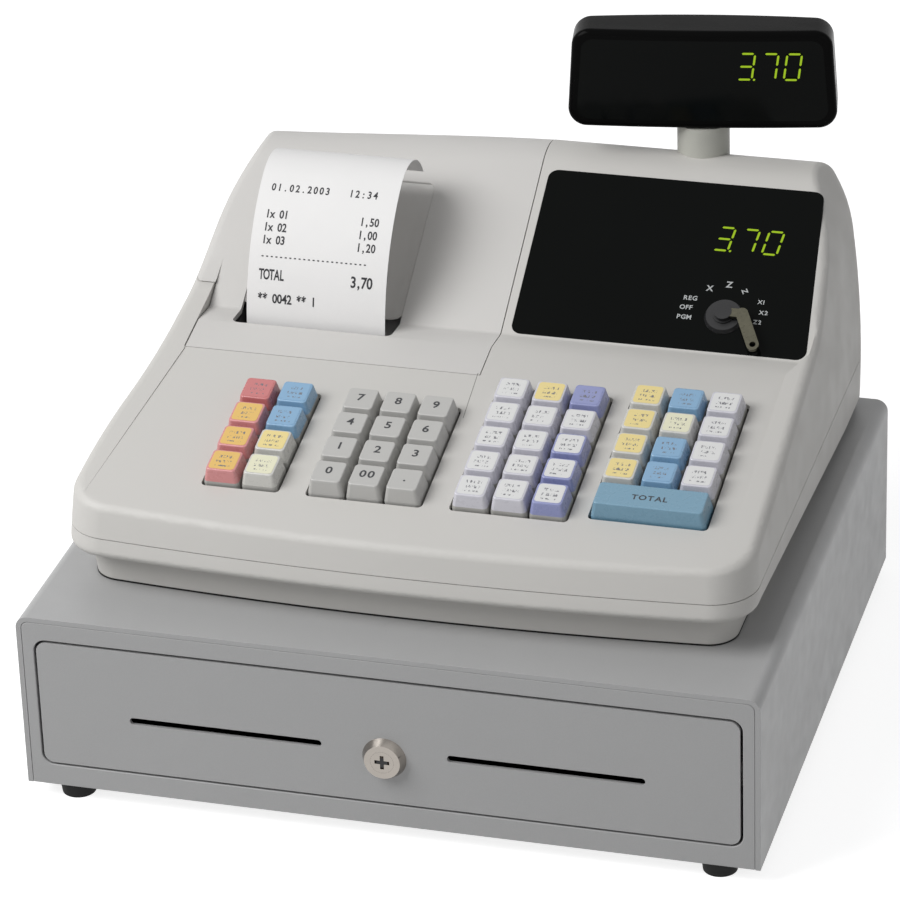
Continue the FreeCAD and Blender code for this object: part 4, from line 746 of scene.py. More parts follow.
    @staticmethod
    def placed(piece: Piece, place: Matrix) -> Piece:
        """Puts a piece modelled in mm in its place in metres, kept in its mesh."""
        piece.data.transform(place @ Matrix.Scale(MM, 4))
        return piece

    @staticmethod
    def dressed(piece: Piece, finish: Finish, body: str, slot: str) -> Piece:
        """Gives a piece its finish and its body.

        Args:
            piece: the piece.
            finish: its finish.
            body: the CAD body that it rides on.
            slot: not used.

        Returns:
            The same piece.
        """
        piece.data.materials.clear()
        piece.data.materials.append(finish.material())
        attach(piece, body)
        return piece


# ---------------------------------------------------------------- where things are


@dataclass(frozen=True)
class Slope:
    """A sloping face of the register, with its own across, up and out, in mm."""

    y: float
    z: float
    angle: float

    def matrix(self) -> Matrix:
        """Gives the face's place in metres, in the row frame."""
        start = Vector((0.0, (self.y - MIDDLE_Y) * MM, self.z * MM))
        return Matrix.Translation(start) @ turned(self.angle, "X")

    def spot(self, across: float, up: float, out: float = 0.0) -> Matrix:
        """Gives the place of a spot on the face, for a piece modelled in metres.

        Args:
            across: mm to the right of the middle.
            up: mm up the slope.
            out: mm out of the face.

        Returns:
            The spot's place.
        """
        return self.matrix() @ shifted(across, up, out)


DECK = Slope(30.0, REGISTER_FLOOR + 41.0, 11.1787)
FACE = Slope(195.0, REGISTER_FLOOR + 69.4, 31.5)
HEAD = shifted(81.0, 303.0 - MIDDLE_Y, REGISTER_FLOOR) @ turned(10.0, "Z")


# ---------------------------------------------------------------- CAD nodes and their copies


NODE_SLOTS: dict[str, str] = {}


class Shading(Enum):
    """How a CAD node is shown."""

    AS_PACKED = "as packed"
    SMOOTHED = "smoothed"
    EDGED = "edged"


@dataclass
class Skin:
    """Shows one CAD node in its finish, as packed or as a copy with smooth shading."""

    node: str
    finish: Finish
    shading: Shading = Shading.SMOOTHED
    angle: float = 30.0
    edge: float = 0.6
    flat_angle: float = 0.6
    corner_angle: float = 40.0

    def copy(self) -> Piece:
        """Copies the node's mesh, merges it and shades it.

        Returns:
            The copy, not yet dressed.
        """
        source = frame["nodes"][self.node]
        piece = bpy.data.objects.new("shown_" + self.node, source.data.copy())
        bpy.context.scene.collection.objects.link(piece)
        Bench.alone(piece)
        if piece.data.has_custom_normals:
            bpy.ops.mesh.customdata_custom_splitnormals_clear()
        Bench.merged(piece, 2e-6)
        if self.shading is Shading.EDGED:
            with Bench.editing(piece):
                bpy.ops.mesh.dissolve_limited(angle_limit=math.radians(self.flat_angle))
            rounding = piece.modifiers.new("rounding", "BEVEL")
            rounding.width = self.edge * MM
            rounding.segments = 3
            rounding.limit_method = "ANGLE"
            rounding.angle_limit = math.radians(self.corner_angle)
            rounding.use_clamp_overlap = True
            bpy.ops.object.modifier_apply(modifier=rounding.name)
        Bench.smooth(piece, self.angle)
        return piece

    def show(self) -> Piece:
        """Shows the node.

        Returns:
            What is shown: the node itself or its copy.
        """
        source = frame["nodes"][self.node]
        if self.shading is Shading.AS_PACKED:
            source.data.materials.clear()
            source.data.materials.append(self.finish.material())
            return source
        piece = Bench.dressed(self.copy(), self.finish, source["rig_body"], NODE_SLOTS[self.node])
        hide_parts(self.node)
        return piece


def show_all(*skins: Skin) -> list[Piece]:
    """Shows several nodes.

    Args:
        skins: the nodes with their finishes.

    Returns:
        What is shown, in the same order.
    """
    return [skin.show() for skin in skins]


def show_packed(**finishes: Finish) -> None:
    """Shows inner nodes as packed.

    Args:
        finishes: their finishes, each under its node's name.
    """
    for node, finish in finishes.items():
        Skin(node, finish, Shading.AS_PACKED).show()


# ---------------------------------------------------------------- lettering


@dataclass
class Letters:
    """Lettering in real thickness: each sign is made once and copied, with its own mesh each time.

    Signs are modelled in mm, standing on a base line with their middle at zero."""

    weight: float
    thin: float = 0.006
    digit_share: float = 0.73
    space: float = 0.3
    tracking: float = 0.14
    made: dict[str, Piece] = field(default_factory=dict)

    def sign(self, sign: str) -> Piece:
        """Makes one sign of the plain typeface, with its digits 1 mm high.

        Args:
            sign: the letter, digit or mark.

        Returns:
            The sign as a mesh, kept off the scene.
        """
        if sign not in self.made:
            bpy.ops.object.select_all(action="DESELECT")
            bpy.ops.object.text_add()
            text = bpy.context.object
            text.data.body = sign
            text.data.resolution_u = 3
            text.data.offset = self.weight
            text.data.extrude = self.thin
            text.data.size = 1.0 / self.digit_share
            bpy.ops.object.convert(target="MESH")
            mesh = bpy.context.object
            Bench.merged(mesh, 1e-5)
            mesh.data.transform(Matrix.Translation((-sum(Bench.across(mesh)) / 2, 0.0, 0.0)))
            for home in list(mesh.users_collection):
                home.objects.unlink(mesh)
            self.made[sign] = mesh
        return self.made[sign]

    def width(self, sign: str) -> float:
        """Gives a sign's width for a height of 1 mm.

        Args:
            sign: the letter, digit or mark.

        Returns:
            Its width in mm.
        """
        if sign == " ":
            return self.space
        low, high = Bench.across(self.sign(sign))
        return high - low

    def line(self, name: str, words: str, height: float, pitch: float | None = None,
             squeeze: float = 1.0, thick: float = 0.06) -> Piece:
        """Sets a line of lettering from the left.

        Args:
            name: the piece's name.
            words: what it says.
            height: height of its capitals in mm.
            pitch: distance from sign to sign in mm, or none for natural spacing.
            squeeze: how much narrower than natural the signs are.
            thick: thickness of the print in mm.

        Returns:
            The line as one mesh in mm, from x 0 to the right.
        """
        parts = []
        place = 0.0
        for index, sign in enumerate(words):
            wide = self.width(sign) * height * squeeze
            centre = pitch * (index + 0.5) if pitch else place + wide / 2
            place += wide + self.tracking * height
            if sign == " ":
                continue
            size = Matrix.Diagonal((height * squeeze, height, thick / (2 * self.thin), 1.0))
            stand = Matrix.Translation((centre, 0.0, 0.0)) @ size
            parts.append(Bench.copied(self.sign(sign), f"{name}_{index}", stand))
        return Bench.joined(name, parts)

    def centred(self, name: str, words: str, height: float, squeeze: float = 1.0) -> Piece:
        """Sets a line of lettering with its middle at zero both ways.

        Args:
            name: the piece's name.
            words: what it says.
            height: height of its capitals in mm.
            squeeze: how much narrower than natural the signs are.

        Returns:
            The line as one mesh in mm.
        """
        line = self.line(name, words, height, squeeze=squeeze)
        line.data.transform(Matrix.Translation((-sum(Bench.across(line)) / 2, -height / 2, 0.0)))
        return line

    def put_away(self) -> None:
        """Removes the signs that the copies were made from."""
        for sign in self.made.values():
            bpy.data.objects.remove(sign)
        self.made.clear()


# ---------------------------------------------------------------- keyboard


class Tint(Enum):
    """Colours of the function keys' caps and labels."""

    RED = "#C27272"
    ROSE = "#CF8A8A"
    AMBER = "#DDB562"
    YELLOW = "#E3D08C"
    CREAM = "#DEDCC0"
    SKY = "#7FA6C6"
    LAVENDER = "#C9C8D0"
    PERIWINKLE = "#8A90BC"
    WHITE = "#D8D8D7"
    PEARL = "#C9C8C3"

    def cap(self) -> KeyPlastic:
        """Gives the cap's finish in this colour."""
        return KeyPlastic("key_cap_" + self.name.lower(), self.value, 0.3)

    def label(self) -> LabelPrint:
        """Gives the label's finish in this colour."""
        return LabelPrint("key_label_" + self.name.lower(), self.value, 0.35)


@dataclass
class KeyColumn:
    """One column of function keys: its caps, and the printed labels under their clear tops."""

    node: str
    across: float
    first: float
    caps: tuple[Tint, ...]
    labels: tuple[Tint, ...]
    pitch: float = 18.2
    height: float = 8.0
    skirt: float = 1.5
    label_size: tuple[float, float, float] = (12.4, 12.8, 0.12)
    label_corner: float = 1.7
    label_edge: float = 0.04
    label_gap: float = 0.01
    marks_apart: int = 7

    def body(self) -> str:
        """Gives the name of the body that the column moves with."""
        return frame["nodes"][self.node]["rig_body"]

    def row_of(self, spot: Vector) -> int:
        """Gives the row that a point on the deck belongs to."""
        up = (DECK.matrix().inverted() @ spot).y / MM
        return max(0, min(len(self.caps) - 1, round((up - self.first) / self.pitch)))

    def dress_caps(self) -> Piece:
        """Shows the column's caps, each in its colour over a grey skirt.

        Returns:
            The dressed copy of the CAD node.
        """
        piece = Skin(self.node, CAP_SKIRT, angle=35.0).copy()
        place = DECK.matrix()
        with Bench.editing(piece):
            bpy.ops.mesh.bisect(plane_co=place @ Vector((0.0, 0.0, self.skirt * MM)),
                                plane_no=place.to_3x3() @ Vector((0.0, 0.0, 1.0)))
        Bench.dressed(piece, CAP_SKIRT, self.body(), NODE_SLOTS[self.node])
        tints = sorted(set(self.caps), key=lambda tint: tint.name)
        for tint in tints:
            piece.data.materials.append(tint.cap().material())
        back = place.inverted()
        for face in piece.data.polygons:
            if (back @ face.center).z / MM > self.skirt:
                face.material_index = 1 + tints.index(self.caps[self.row_of(face.center)])
        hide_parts(self.node)
        return piece

    def blank_label(self) -> Piece:
        """Models one label plate: a thin plate with round corners and its own map.

        Returns:
            The plate in mm, its underside at zero.
        """
        wide, deep, thick = self.label_size
        plate = Bench.plate("label_plate", self.label_size, self.label_corner, 4, (0.0, 0.0, thick / 2))
        Bench.bevel(plate, self.label_edge, 1, lambda a, b: min(a.z, b.z) > thick * 0.9)
        layers = plate.data.uv_layers
        chart = layers[0] if layers else layers.new(name="label")
        chart.name = "label"
        for loop in plate.data.loops:
            spot = plate.data.vertices[loop.vertex_index].co
            chart.data[loop.index].uv = (spot.x / wide + 0.5, spot.y / deep + 0.5)
        return plate

    def lay_labels(self) -> Piece:
        """Lays a printed label on every cap of the column.

        Returns:
            The column's labels as one piece.
        """
        plate = self.blank_label()
        parts = []
        for row, tint in enumerate(self.labels):
            place = DECK.spot(self.across, self.first + row * self.pitch, self.height + self.label_gap)
            label = Bench.copied(plate, f"{self.node}_label_{row}", place @ Matrix.Scale(MM, 4))
            label.data.materials.append(tint.label().material())
            for corner in label.data.uv_layers[0].data:
                corner.uv.x += self.marks_apart * row + round(self.across)
            parts.append(label)
        bpy.data.objects.remove(plate)
        piece = Bench.joined(f"{self.node}_labels", parts)
        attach(piece, self.body())
        return piece


@dataclass
class Keyboard:
    """The keyboard: three pads of function keys, the number pad and the wide total key."""

    letters: Letters
    pitch: float = 18.2
    number_across: float = -41.5
    number_first: float = 38.1
    number_rows: tuple[tuple[str, ...], ...] = (("0", "00", "point"), ("1", "2", "3"), ("4", "5", "6"),
                                                ("7", "8", "9"))
    legend_height: float = 4.9
    legend_lift: float = 0.9
    total_centre: tuple[float, float] = (108.8, 42.4)
    total_height: float = 3.4
    cap_top: float = 8.01

    def columns(self) -> list[KeyColumn]:
        """Lists the columns of function keys, each from its lowest row up.

        Returns:
            The columns from the left.
        """
        t = Tint
        return [
            KeyColumn("keys_left_1", -91.7, 38.1, (t.ROSE,) * 3 + (t.RED,), (t.AMBER,) * 3 + (t.RED,)),
            KeyColumn("keys_left_2", -73.5, 38.1, (t.PEARL,) * 2 + (t.SKY,) * 2,
                      (t.CREAM, t.YELLOW, t.SKY, t.SKY)),
            KeyColumn("keys_middle_1", 26.9, 38.6, (t.LAVENDER,) * 5, (t.WHITE,) * 5),
            KeyColumn("keys_middle_2", 45.1, 38.6, (t.LAVENDER,) * 5, (t.WHITE,) * 4 + (t.YELLOW,)),
            KeyColumn("keys_middle_3", 63.3, 38.6, (t.PERIWINKLE,) * 3 + (t.LAVENDER, t.PERIWINKLE),
                      (t.WHITE,) * 4 + (t.PERIWINKLE,)),
            KeyColumn("keys_right_1", 91.0, 61.6, (t.PEARL,) * 4, (t.YELLOW,) * 4),
            KeyColumn("keys_right_2", 109.2, 61.6, (t.SKY, t.SKY, t.PEARL, t.SKY),
                      (t.SKY, t.SKY, t.CREAM, t.SKY)),
            KeyColumn("keys_right_3", 127.4, 61.6, (t.LAVENDER,) * 4, (t.WHITE,) * 4),
        ]

    def number_keys(self) -> list[Piece]:
        """Shows the grey number keys with their moulded-in legends.

        Returns:
            The caps' legends.
        """
        legends = []
        for row, names in enumerate(self.number_rows):
            for column, name in enumerate(names):
                node = "key_" + name
                Skin(node, NUMBER_CAP, angle=35.0).show()
                place = DECK.spot(self.number_across + column * self.pitch,
                                  self.number_first + row * self.pitch + self.legend_lift, self.cap_top)
                words = "." if name == "point" else name
                legend = self.letters.centred(f"{node}_legend", words, self.legend_height)
                Bench.placed(legend, place)
                legends.append(Bench.dressed(legend, DARK_INK, frame["nodes"][node]["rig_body"], "key_grey"))
        return legends

    def total_key(self) -> Piece:
        """Shows the wide total key with its legend.

        Returns:
            The legend.
        """
        Skin("key_total", KeyPlastic("key_cap_total", "#7299AF", 0.3), angle=35.0).show()
        legend = self.letters.centred("key_total_legend", "TOTAL", self.total_height)
        Bench.placed(legend, DECK.spot(*self.total_centre, self.cap_top))
        return Bench.dressed(legend, DARK_INK, frame["nodes"]["key_total"]["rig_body"], "key_blue")

    def build(self) -> list[Piece]:
        """Builds the whole keyboard.

        Returns:
            Its pieces.
        """
        pieces = []
        for column in self.columns():
            pieces += [column.dress_caps(), column.lay_labels()]
        pieces += self.number_keys()
        pieces.append(self.total_key())
        show_packed(key_frame=DARK, key_membrane=GREY_RUBBER)
        return pieces


# ---------------------------------------------------------------- displays


@dataclass
class Digits:
    """A row of seven-segment digits, leaning a little to the right."""

    name: str
    shown: str
    height: float
    width: float
    pitch: float
    thick: float
    deep: float = 0.08
    lean: float = 0.13
    bars: dict[str, str] = field(default_factory=lambda: {
        "0": "abcdef", "1": "bc", "2": "abdeg", "3": "abcdg", "4": "bcfg", "5": "acdfg", "6": "acdefg",
        "7": "abc", "8": "abcdefg", "9": "abcdfg"})

    def bar(self, length: float) -> Piece:
        """Models one segment: a flat bar with pointed ends.

        Args:
            length: its length in mm.

        Returns:
            The bar in mm, lying along X.
        """
        return Bench.plate("segment", (length, self.thick, self.deep), self.thick * 0.49, 1,
                           (0.0, 0.0, self.deep / 2))

    def build(self, place: Matrix) -> Piece:
        """Sets the row of digits with its left lower corner at the place.

        Args:
            place: where the row starts.

        Returns:
            The row, in its place.
        """
        gap = self.thick * 0.62
        across = self.bar(self.width - 2 * gap)
        upright = self.bar(self.height / 2 - 2 * gap)
        middle, top = self.height / 2, self.height
        right, left = self.width, 0.0
        stands = {"a": (self.width / 2, top, across), "g": (self.width / 2, middle, across),
                  "d": (self.width / 2, 0.0, across), "f": (left, top * 0.75, upright),
                  "b": (right, top * 0.75, upright), "e": (left, top * 0.25, upright),
                  "c": (right, top * 0.25, upright)}
        parts = []
        start = 0.0
        for sign in self.shown:
            if sign == ".":
                size = (self.thick, self.thick, self.deep)
                centre = (start - self.pitch + self.width + self.thick * 1.15, -0.1, self.deep / 2)
                parts.append(Bench.plate("point", size, self.thick * 0.3, 2, centre))
                continue
            for bar in self.bars[sign]:
                x, y, model = stands[bar]
                turn = turned(90.0 if model is upright else 0.0, "Z")
                stand = Matrix.Translation((start + x, y, 0.0)) @ turn
                parts.append(Bench.copied(model, f"{self.name}_{bar}", stand))
            start += self.pitch
        for model in (across, upright):
            bpy.data.objects.remove(model)
        piece = Bench.joined(self.name, parts)
        leaning = Matrix.Identity(4)
        leaning[0][1] = self.lean
        piece.data.transform(leaning)
        return Bench.placed(piece, place)


@dataclass
class OperatorDisplay:
    """The smoked window on the sloping face: lit digits, mode legends, mode switch and key."""

    letters: Letters
    switch_axis: tuple[float, float] = (111.4, 20.0)
    hub_radius: float = 5.2
    marks: tuple[tuple[str, float, float, float, float], ...] = (
        ("PGM", 92.3, 18.2, 2.5, 0.0), ("OFF", 92.2, 23.7, 2.5, 0.0), ("REG", 93.4, 29.0, 2.5, 0.0),
        ("X", 101.6, 35.4, 3.2, 0.0), ("Z", 110.6, 38.4, 3.4, 0.0), ("Z", 118.7, 35.4, 2.8, -62.0),
        ("X1", 127.4, 30.2, 2.3, 0.0), ("X2", 129.6, 24.4, 2.3, 0.0), ("Z2", 127.6, 18.9, 2.3, 0.0))

    def legends(self) -> Piece:
        """Prints the pale legends round the mode switch.

        Returns:
            The legends as one piece.
        """
        parts = []
        for index, (words, across, up, height, turn) in enumerate(self.marks):
            mark = self.letters.centred(f"mode_mark_{index}", words, height)
            parts.append(Bench.placed(mark, FACE.spot(across, up, PROUD) @ turned(turn, "Z")))
        return Bench.dressed(Bench.joined("mode_legends", parts), PALE_INK, "register", "window_black")

    def blacken_hub(self, key: Piece) -> None:
        """Gives the key's hub its black plastic cover.

        Args:
            key: the shown mode key.
        """
        key.data.materials.append(DARK.material())
        back = FACE.matrix().inverted()
        axis = Vector(self.switch_axis)
        for face in key.data.polygons:
            if ((back @ face.center).xy / MM - axis).length < self.hub_radius:
                face.material_index = 1

    def build(self) -> list[Piece]:
        """Builds the display and the mode switch.

        Returns:
            Its pieces.
        """
        window = Skin("display_window", WINDOW).show()
        digits = Digits("operator_digits", "3.70", 13.0, 7.2, 11.9, 1.05).build(FACE.spot(98.9, 57.2, PROUD))
        Bench.dressed(digits, LIT, "register", "window_black")
        switch = show_all(Skin("mode_switch", DARK), Skin("mode_rotor", DARK), Skin("mode_key", KEY_METAL))
        self.blacken_hub(switch[-1])
        show_packed(display_board=BOARD)
        return [window, digits, *switch, self.legends()]


@dataclass
class CustomerDisplay:
    """The customer's display on its post: a black shell, its window and the lit amount."""

    front: float = 12.5
    amount_across: float = 17.0
    amount_up: float = 166.6

    def build(self) -> list[Piece]:
        """Builds the customer display.

        Returns:
            Its pieces.
        """
        pieces = show_all(Skin("customer_shell", SHELL), Skin("customer_window", WINDOW),
                          Skin("display_post", POST))
        place = HEAD @ shifted(self.amount_across, -self.front - PROUD, self.amount_up) @ turned(90.0, "X")
        digits = Digits("customer_digits", "3.70", 13.4, 7.0, 11.2, 1.0).build(place)
        show_packed(customer_board=BOARD)
        return pieces + [Bench.dressed(digits, LIT, "customer_display", "window_black")]


# ---------------------------------------------------------------- printer


@dataclass(frozen=True)
class PrintLine:
    """One printed line: its height up the strip, its size, its words and, at the right, its sum."""

    along: float
    height: float
    pitch: float
    words: str
    sum: str = ""
    sum_pitch: float = 2.4
    sum_height: float = 0.0
    squeeze: float = 0.8


@dataclass
class Printer:
    """The receipt printer: its cover, the strip of paper that stands out, and the print on it."""

    letters: Letters
    radius: float = 83.45
    centre_y: float = 264.35
    centre_z: float = 159.0
    middle: float = -82.3
    width: float = 69.3
    chute_left: float = -123.8
    chute_right: float = -44.2
    chute_foot: float = 4.0
    chute_top: float = 80.0
    chute_depth: float = 4.7
    chute_lip: float = 0.3
    chute_side: float = 7.0
    chute_fall: float = 0.55
    chute_bowl: float = 0.7
    chute_sheet: float = 0.4
    chute_grid: tuple[int, int] = (32, 20)
    print_proud: float = 0.05
    margin: float = 5.5
    sums_margin: float = 7.0
    lines: tuple[PrintLine, ...] = (
        PrintLine(74.8, 3.9, 3.0, "01.02.2003   12:34"),
        PrintLine(61.0, 4.2, 2.3, "1x 01", "1,50", 2.4), PrintLine(54.5, 4.2, 2.3, "1x 02", "1,00", 2.4),
        PrintLine(48.3, 4.2, 2.3, "1x 03", "1,20", 2.4), PrintLine(40.7, 3.2, 2.33, "-" * 23),
        PrintLine(31.6, 5.2, 2.6, "TOTAL", "3,70", 2.7, 5.5, 0.58),
        PrintLine(20.1, 4.6, 2.43, "** 0042 ** 1"))

    def wrap(self, piece: Piece, left: float, along: float) -> None:
        """Lays flat print on the curved front of the strip.

        Args:
            piece: the print in mm, x across and y up.
            left: where its x 0 goes, mm from the middle of the register.
            along: arc length of its base line up the strip, mm.
        """
        for point in piece.data.vertices:
            angle = (along + point.co.y) / self.radius
            reach = self.radius + self.print_proud + point.co.z
            point.co = Vector((left + point.co.x, self.centre_y - MIDDLE_Y - reach * math.cos(angle),
                               self.centre_z + reach * math.sin(angle))) * MM

    def printed(self) -> Piece:
        """Prints the receipt: a date, numbered items, a dashed line and the total.

        Returns:
            The print as one piece.
        """
        parts = []
        left = self.middle - self.width / 2 + self.margin
        right = self.middle + self.width / 2 - self.sums_margin
        for index, row in enumerate(self.lines):
            line = self.letters.line(f"print_{index}", row.words, row.height, row.pitch, row.squeeze)
            self.wrap(line, left, row.along - row.height / 2)
            parts.append(line)
            if row.sum:
                height = row.sum_height or row.height
                line = self.letters.line(f"print_{index}_sum", row.sum, height, row.sum_pitch, 0.8)
                self.wrap(line, right - len(row.sum) * row.sum_pitch, row.along - height / 2)
                parts.append(line)
        return Bench.dressed(Bench.joined("receipt_print", parts), PRINT_INK, "register", "paper")

    def chute(self) -> Piece:
        """Models the curved throat behind the paper, which sinks into the cover like a shallow dish.

        Returns:
            The throat, riding on the cover.
        """
        bpy.ops.object.select_all(action="DESELECT")
        columns, rows = self.chute_grid
        bpy.ops.mesh.primitive_grid_add(x_subdivisions=columns, y_subdivisions=rows, size=1.0)
        piece = bpy.context.object
        for point in piece.data.vertices:
            across = self.chute_left + (point.co.x + 0.5) * (self.chute_right - self.chute_left)
            up = self.chute_foot + (self.chute_top - self.chute_foot) * (point.co.y + 0.5)
            fall = self.chute_depth * (1.0 - up / self.chute_top) ** self.chute_fall
            side = min(across - self.chute_left, self.chute_right - across) / self.chute_side
            bowl = math.sin(min(1.0, side) * math.pi / 2) ** self.chute_bowl
            point.co = (across, up, -self.chute_lip - fall * bowl)
        with Bench.editing(piece):
            bpy.ops.mesh.extrude_region_move(TRANSFORM_OT_translate={"value": (0.0, 0.0, -self.chute_sheet)})
        piece.name = "receipt_chute"
        Bench.placed(piece, FACE.matrix())
        Bench.smooth(piece, 50.0)
        return Bench.dressed(piece, COVER, "cover", "cover_plastic")

    def build(self) -> list[Piece]:
        """Builds the printer.

        Returns:
            Its pieces.
        """
        pieces = show_all(Skin("printer_cover", COVER), Skin("receipt_paper", PAPER),
                          Skin("printer_frame", DARK, angle=35.0), Skin("paper_roll", PAPER),
                          Skin("platen_roller", GREY_RUBBER), Skin("platen_gear", GEAR, angle=35.0),
                          Skin("motor_pinion", GEAR, angle=35.0))
        pieces += [self.printed(), self.chute()]
        show_packed(feed_motor=COIL)
        return pieces


# ---------------------------------------------------------------- casing and drawer


@dataclass
class Casing:
    """The register's ABS casing, upper and lower, with what lies inside it."""

    seam_start: tuple[float, float] = (5.0, 129.6)
    seam_end: tuple[float, float] = (6.7, 95.4)
    seam_width: float = 0.35
    seam_height: float = 0.04
    foot: tuple[float, float] = (130.0, 100.0)
    # the strip of painted contact shadow under the casing: its height and how far it stands out, mm
    shadow_strip_height: float = 0.8
    shadow_strip_reach: float = 0.25

    def gasket(self) -> Piece:
        """Models a thin dark strip round the casing's foot: painted contact shadow where the casing stands on
        the drawer.

        Returns:
            The strip of painted shadow.
        """
        piece = Skin("lower_case", FOOT).copy()
        piece.name = "foot_gasket"
        top = (REGISTER_FLOOR + self.shadow_strip_height) * MM
        with Bench.editing(piece):
            bpy.ops.mesh.select_mode(type="FACE")
            bpy.ops.mesh.select_all(action="SELECT")
            bpy.ops.mesh.bisect(plane_co=(0.0, 0.0, top), plane_no=(0.0, 0.0, 1.0), clear_outer=True)
        for face in piece.data.polygons:
            spot, way = face.center, face.normal
            rim = max(abs(spot.x) / self.foot[0], abs(spot.y) / self.foot[1]) > MM
            face.select = not rim or abs(way.z) > 0.5 or spot.x * way.x + spot.y * way.y <= 0.0
        bpy.ops.object.mode_set(mode="EDIT")
        bpy.ops.mesh.delete(type="FACE")
        bpy.ops.mesh.select_all(action="SELECT")
        reach = {"value": self.shadow_strip_reach * MM}
        bpy.ops.mesh.extrude_region_shrink_fatten(TRANSFORM_OT_shrink_fatten=reach)
        bpy.ops.object.mode_set(mode="OBJECT")
        Bench.smooth(piece)
        # the dark rubber finish stands for painted contact shadow here
        return Bench.dressed(piece, FOOT, "register", "foot_rubber")

    def seam(self) -> Piece:
        """Lays the fine shadowed parting line beside the printer cover on the keyboard deck.

        Returns:
            The line.
        """
        start, end = Vector(self.seam_start), Vector(self.seam_end)
        way = end - start
        line = Bench.block("casing_seam_0", (self.seam_width, way.length, self.seam_height))
        Bench.bevel(line, 0.015, 1, lambda a, b: min(a.z, b.z) > 0.01)
        centre = (start + end) / 2
        turn = Matrix.Rotation(math.atan2(way.y, way.x) - math.pi / 2, 4, "Z")
        Bench.placed(line, DECK.spot(centre.x, centre.y) @ turn)
        return Bench.dressed(line, SEAM, "register", "case_plastic")

    def build(self) -> list[Piece]:
        """Builds the casing.

        Returns:
            Its pieces.
        """
        pieces = show_all(Skin("upper_case", CASE), Skin("lower_case", CASE), Skin("power_inlet", DARK))
        show_packed(main_board=BOARD, transformer=COIL)
        return pieces + [self.seam(), self.gasket()]


@dataclass
class CashDrawer:
    """The painted steel cash drawer: cover, frame, base, the sliding front, tub, tray and lock."""

    # the cross of painted shade on the lock's front: its middle and the size of its bars, mm
    keyway_centre: tuple[float, float, float] = (0.0, -163.36, 44.0)
    keyway_length: float = 5.2
    keyway_width: float = 1.5

    def keyway(self) -> Piece:
        """Models a dark cross on the lock's front: painted shade standing in for the depth of the
        cross-shaped key slot.

        Returns:
            The painted shade, turning with the lock.
        """
        bars = []
        for index, turn in enumerate((0.0, 90.0)):
            size = (self.keyway_length, self.keyway_width, 0.04 + 0.01 * index)
            bar = Bench.plate(f"keyway_{index}", size, self.keyway_width * 0.4, 3)
            bar.data.transform(turned(turn, "Z"))
            bars.append(bar)
        piece = Bench.joined("lock_keyway", bars)
        Bench.placed(piece, shifted(*self.keyway_centre) @ turned(90.0, "X"))
        # black plastic finish used as painted shade inside the key slot
        return Bench.dressed(piece, DARK, "lock", "lock_chrome")

    def build(self) -> list[Piece]:
        """Builds the drawer.

        Returns:
            Its pieces.
        """
        pieces = show_all(
            Skin("drawer_cover", DRAWER, Shading.EDGED, edge=0.8),
            Skin("drawer_face_frame", DRAWER, Shading.EDGED, edge=0.5),
            Skin("drawer_front", DRAWER, Shading.EDGED, edge=0.4), Skin("drawer_base", DRAWER),
            Skin("drawer_tub", ZINC), Skin("slide_rails", ZINC), Skin("cash_tray", TRAY),
            Skin("note_clips", BRIGHT), Skin("rubber_feet", FOOT), Skin("screws", ZINC),
            Skin("lock_body", CHROME), Skin("lock_cylinder", CHROME))
        show_packed(latch_solenoid=COIL, latch_plunger=BRIGHT, ejector_spring=ZINC)
        return pieces + [self.keyway()]


# ---------------------------------------------------------------- studio


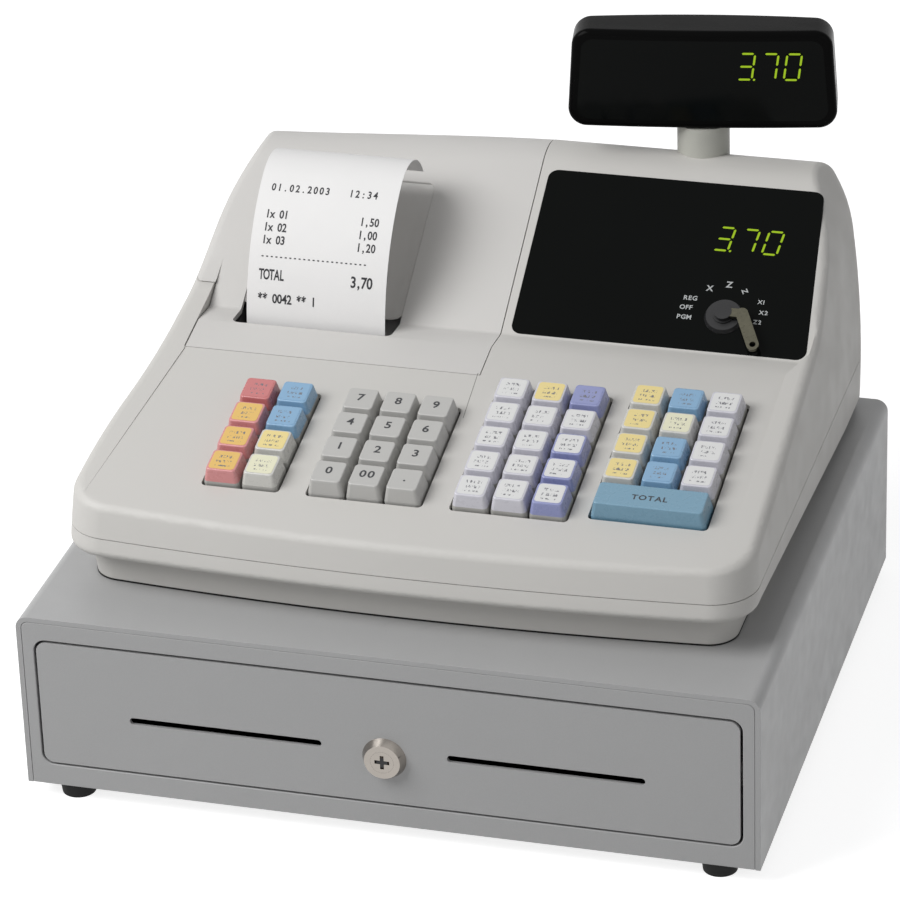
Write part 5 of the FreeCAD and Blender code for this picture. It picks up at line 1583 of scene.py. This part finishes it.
@dataclass
class Studio:
    """A pale floor, soft lamps and the camera at the photograph's angle."""

    azimuth: float = 0.28761801
    elevation: float = 0.48581283
    roll: float = -0.03527636
    distance: float = 2200.0
    focal_px: float = 4793.0773
    picture_px: float = 900.0
    aim: tuple[float, float] = (28.81693, 172.20277)
    floor_size: float = 14.0
    floor_glow: float = 0.8
    sky_glow: float = 0.35
    sensor: float = 36.0
    lamp_aim: tuple[float, float, float] = (0.0, 0.0, 0.15)
    lamps: tuple[tuple[str, tuple[float, float, float], float, float], ...] = (
        ("key_lamp", (-1.07, -0.83, 1.49), 1.2, 33.0),
        ("fill_lamp", (1.9, -1.3, 0.9), 1.6, 3.5))

    def camera(self) -> Piece:
        """Sets the camera by its fitted angles, distance and lens.

        Returns:
            The camera.
        """
        back = Vector((math.sin(self.azimuth) * math.cos(self.elevation),
                       -math.cos(self.azimuth) * math.cos(self.elevation), math.sin(self.elevation)))
        level = Vector((math.cos(self.azimuth), math.sin(self.azimuth), 0.0))
        above = back.cross(level)
        right = level * math.cos(self.roll) + above * math.sin(self.roll)
        up = above * math.cos(self.roll) - level * math.sin(self.roll)
        eye = back * self.distance + right * self.aim[0] + up * self.aim[1]
        eye += Vector((0.0, -MIDDLE_Y, CASE_FLOOR))
        data = bpy.data.cameras.new("camera")
        data.sensor_width = self.sensor
        data.lens = self.focal_px / self.picture_px * self.sensor
        data.clip_start = 0.05
        data.clip_end = 50.0
        camera = bpy.data.objects.new("camera", data)
        bpy.context.scene.collection.objects.link(camera)
        turned = Matrix((right, up, back)).transposed().to_4x4()
        camera.matrix_world = Matrix.Translation(eye * MM) @ turned
        bpy.context.scene.camera = camera
        return camera

    def light(self) -> None:
        """Hangs the soft lamps, all aimed at the register."""
        aim = Vector(self.lamp_aim)
        for name, spot, size, power in self.lamps:
            data = bpy.data.lights.new(name, "AREA")
            data.shape = "SQUARE"
            data.size = size
            data.energy = power
            lamp = bpy.data.objects.new(name, data)
            bpy.context.scene.collection.objects.link(lamp)
            lamp.matrix_world = (Matrix.Translation(Vector(spot))
                                 @ (Vector(spot) - aim).to_track_quat("Z", "Y").to_matrix().to_4x4())

    def seen(self, tree: Tree) -> Socket:
        """Tells the rays that see the background from those that light the object.

        Args:
            tree: the tree it is for.

        Returns:
            One for camera, glossy and transmission rays.
        """
        path = add_node(tree, "ShaderNodeLightPath")
        first = computed(tree, "MAXIMUM", path.outputs["Is Camera Ray"], path.outputs["Is Glossy Ray"])
        return computed(tree, "MAXIMUM", first, path.outputs["Is Transmission Ray"])

    def sky(self) -> None:
        """Makes the white background, with a softer grey that lights the object."""
        world = bpy.data.worlds.new("studio")
        bpy.context.scene.world = world
        world.use_nodes = True
        tree = world.node_tree
        tree.nodes.clear()
        glow = add_node(tree, "ShaderNodeBackground", {"Color": linear("#F4F5F7"), "Strength": self.sky_glow})
        white = add_node(tree, "ShaderNodeBackground", {"Color": (1.0, 1.0, 1.0, 1.0), "Strength": 1.0})
        mix = add_node(tree, "ShaderNodeMixShader", None, {"#0": self.seen(tree), "#1": glow.outputs[0],
                                                           "#2": white.outputs[0]})
        add_node(tree, "ShaderNodeOutputWorld", None, {"Surface": mix.outputs[0]})

    def floor(self) -> Piece:
        """Lays the pale floor, which goes white in the picture but keeps the shadow.

        Returns:
            The floor.
        """
        bpy.ops.object.select_all(action="DESELECT")
        bpy.ops.mesh.primitive_plane_add(size=self.floor_size)
        floor = bpy.context.object
        floor.name = "studio_floor"
        material = bpy.data.materials.new("matt_white_floor")
        material.use_nodes = True
        tree = material.node_tree
        tree.nodes.clear()
        matt = add_node(tree, "ShaderNodeBsdfDiffuse", {"Color": linear("#BDBDBD")})
        glow = add_node(tree, "ShaderNodeEmission", {"Color": (1.0, 1.0, 1.0, 1.0)})
        tree.links.new(computed(tree, "MULTIPLY", self.seen(tree), self.floor_glow), glow.inputs["Strength"])
        both = add_node(tree, "ShaderNodeAddShader", None, {"#0": matt.outputs[0], "#1": glow.outputs[0]})
        add_node(tree, "ShaderNodeOutputMaterial", None, {"Surface": both.outputs[0]})
        floor.data.materials.append(material)
        return floor

    def build(self) -> None:
        """Builds the studio."""
        bpy.context.scene.view_settings.view_transform = "Standard"
        self.camera()
        self.light()
        self.sky()
        self.floor()


def main() -> None:
    """Builds the register's looks, sub-assembly by sub-assembly, and reports each piece."""
    logging.basicConfig(level=logging.INFO, format="%(name)s: %(message)s")
    for entry in frame["record"]["subparts"]:
        NODE_SLOTS[entry["node"]] = entry["material_slot"]
    letters = Letters(weight=0.03)
    Studio().build()
    for part in (CashDrawer(), Casing(), Printer(letters), Keyboard(letters), OperatorDisplay(letters),
                 CustomerDisplay()):
        for piece in part.build():
            LOG.info("%s: %d faces", piece.name, len(piece.data.polygons))
    letters.put_away()


if __name__ == "__main__":
    main()
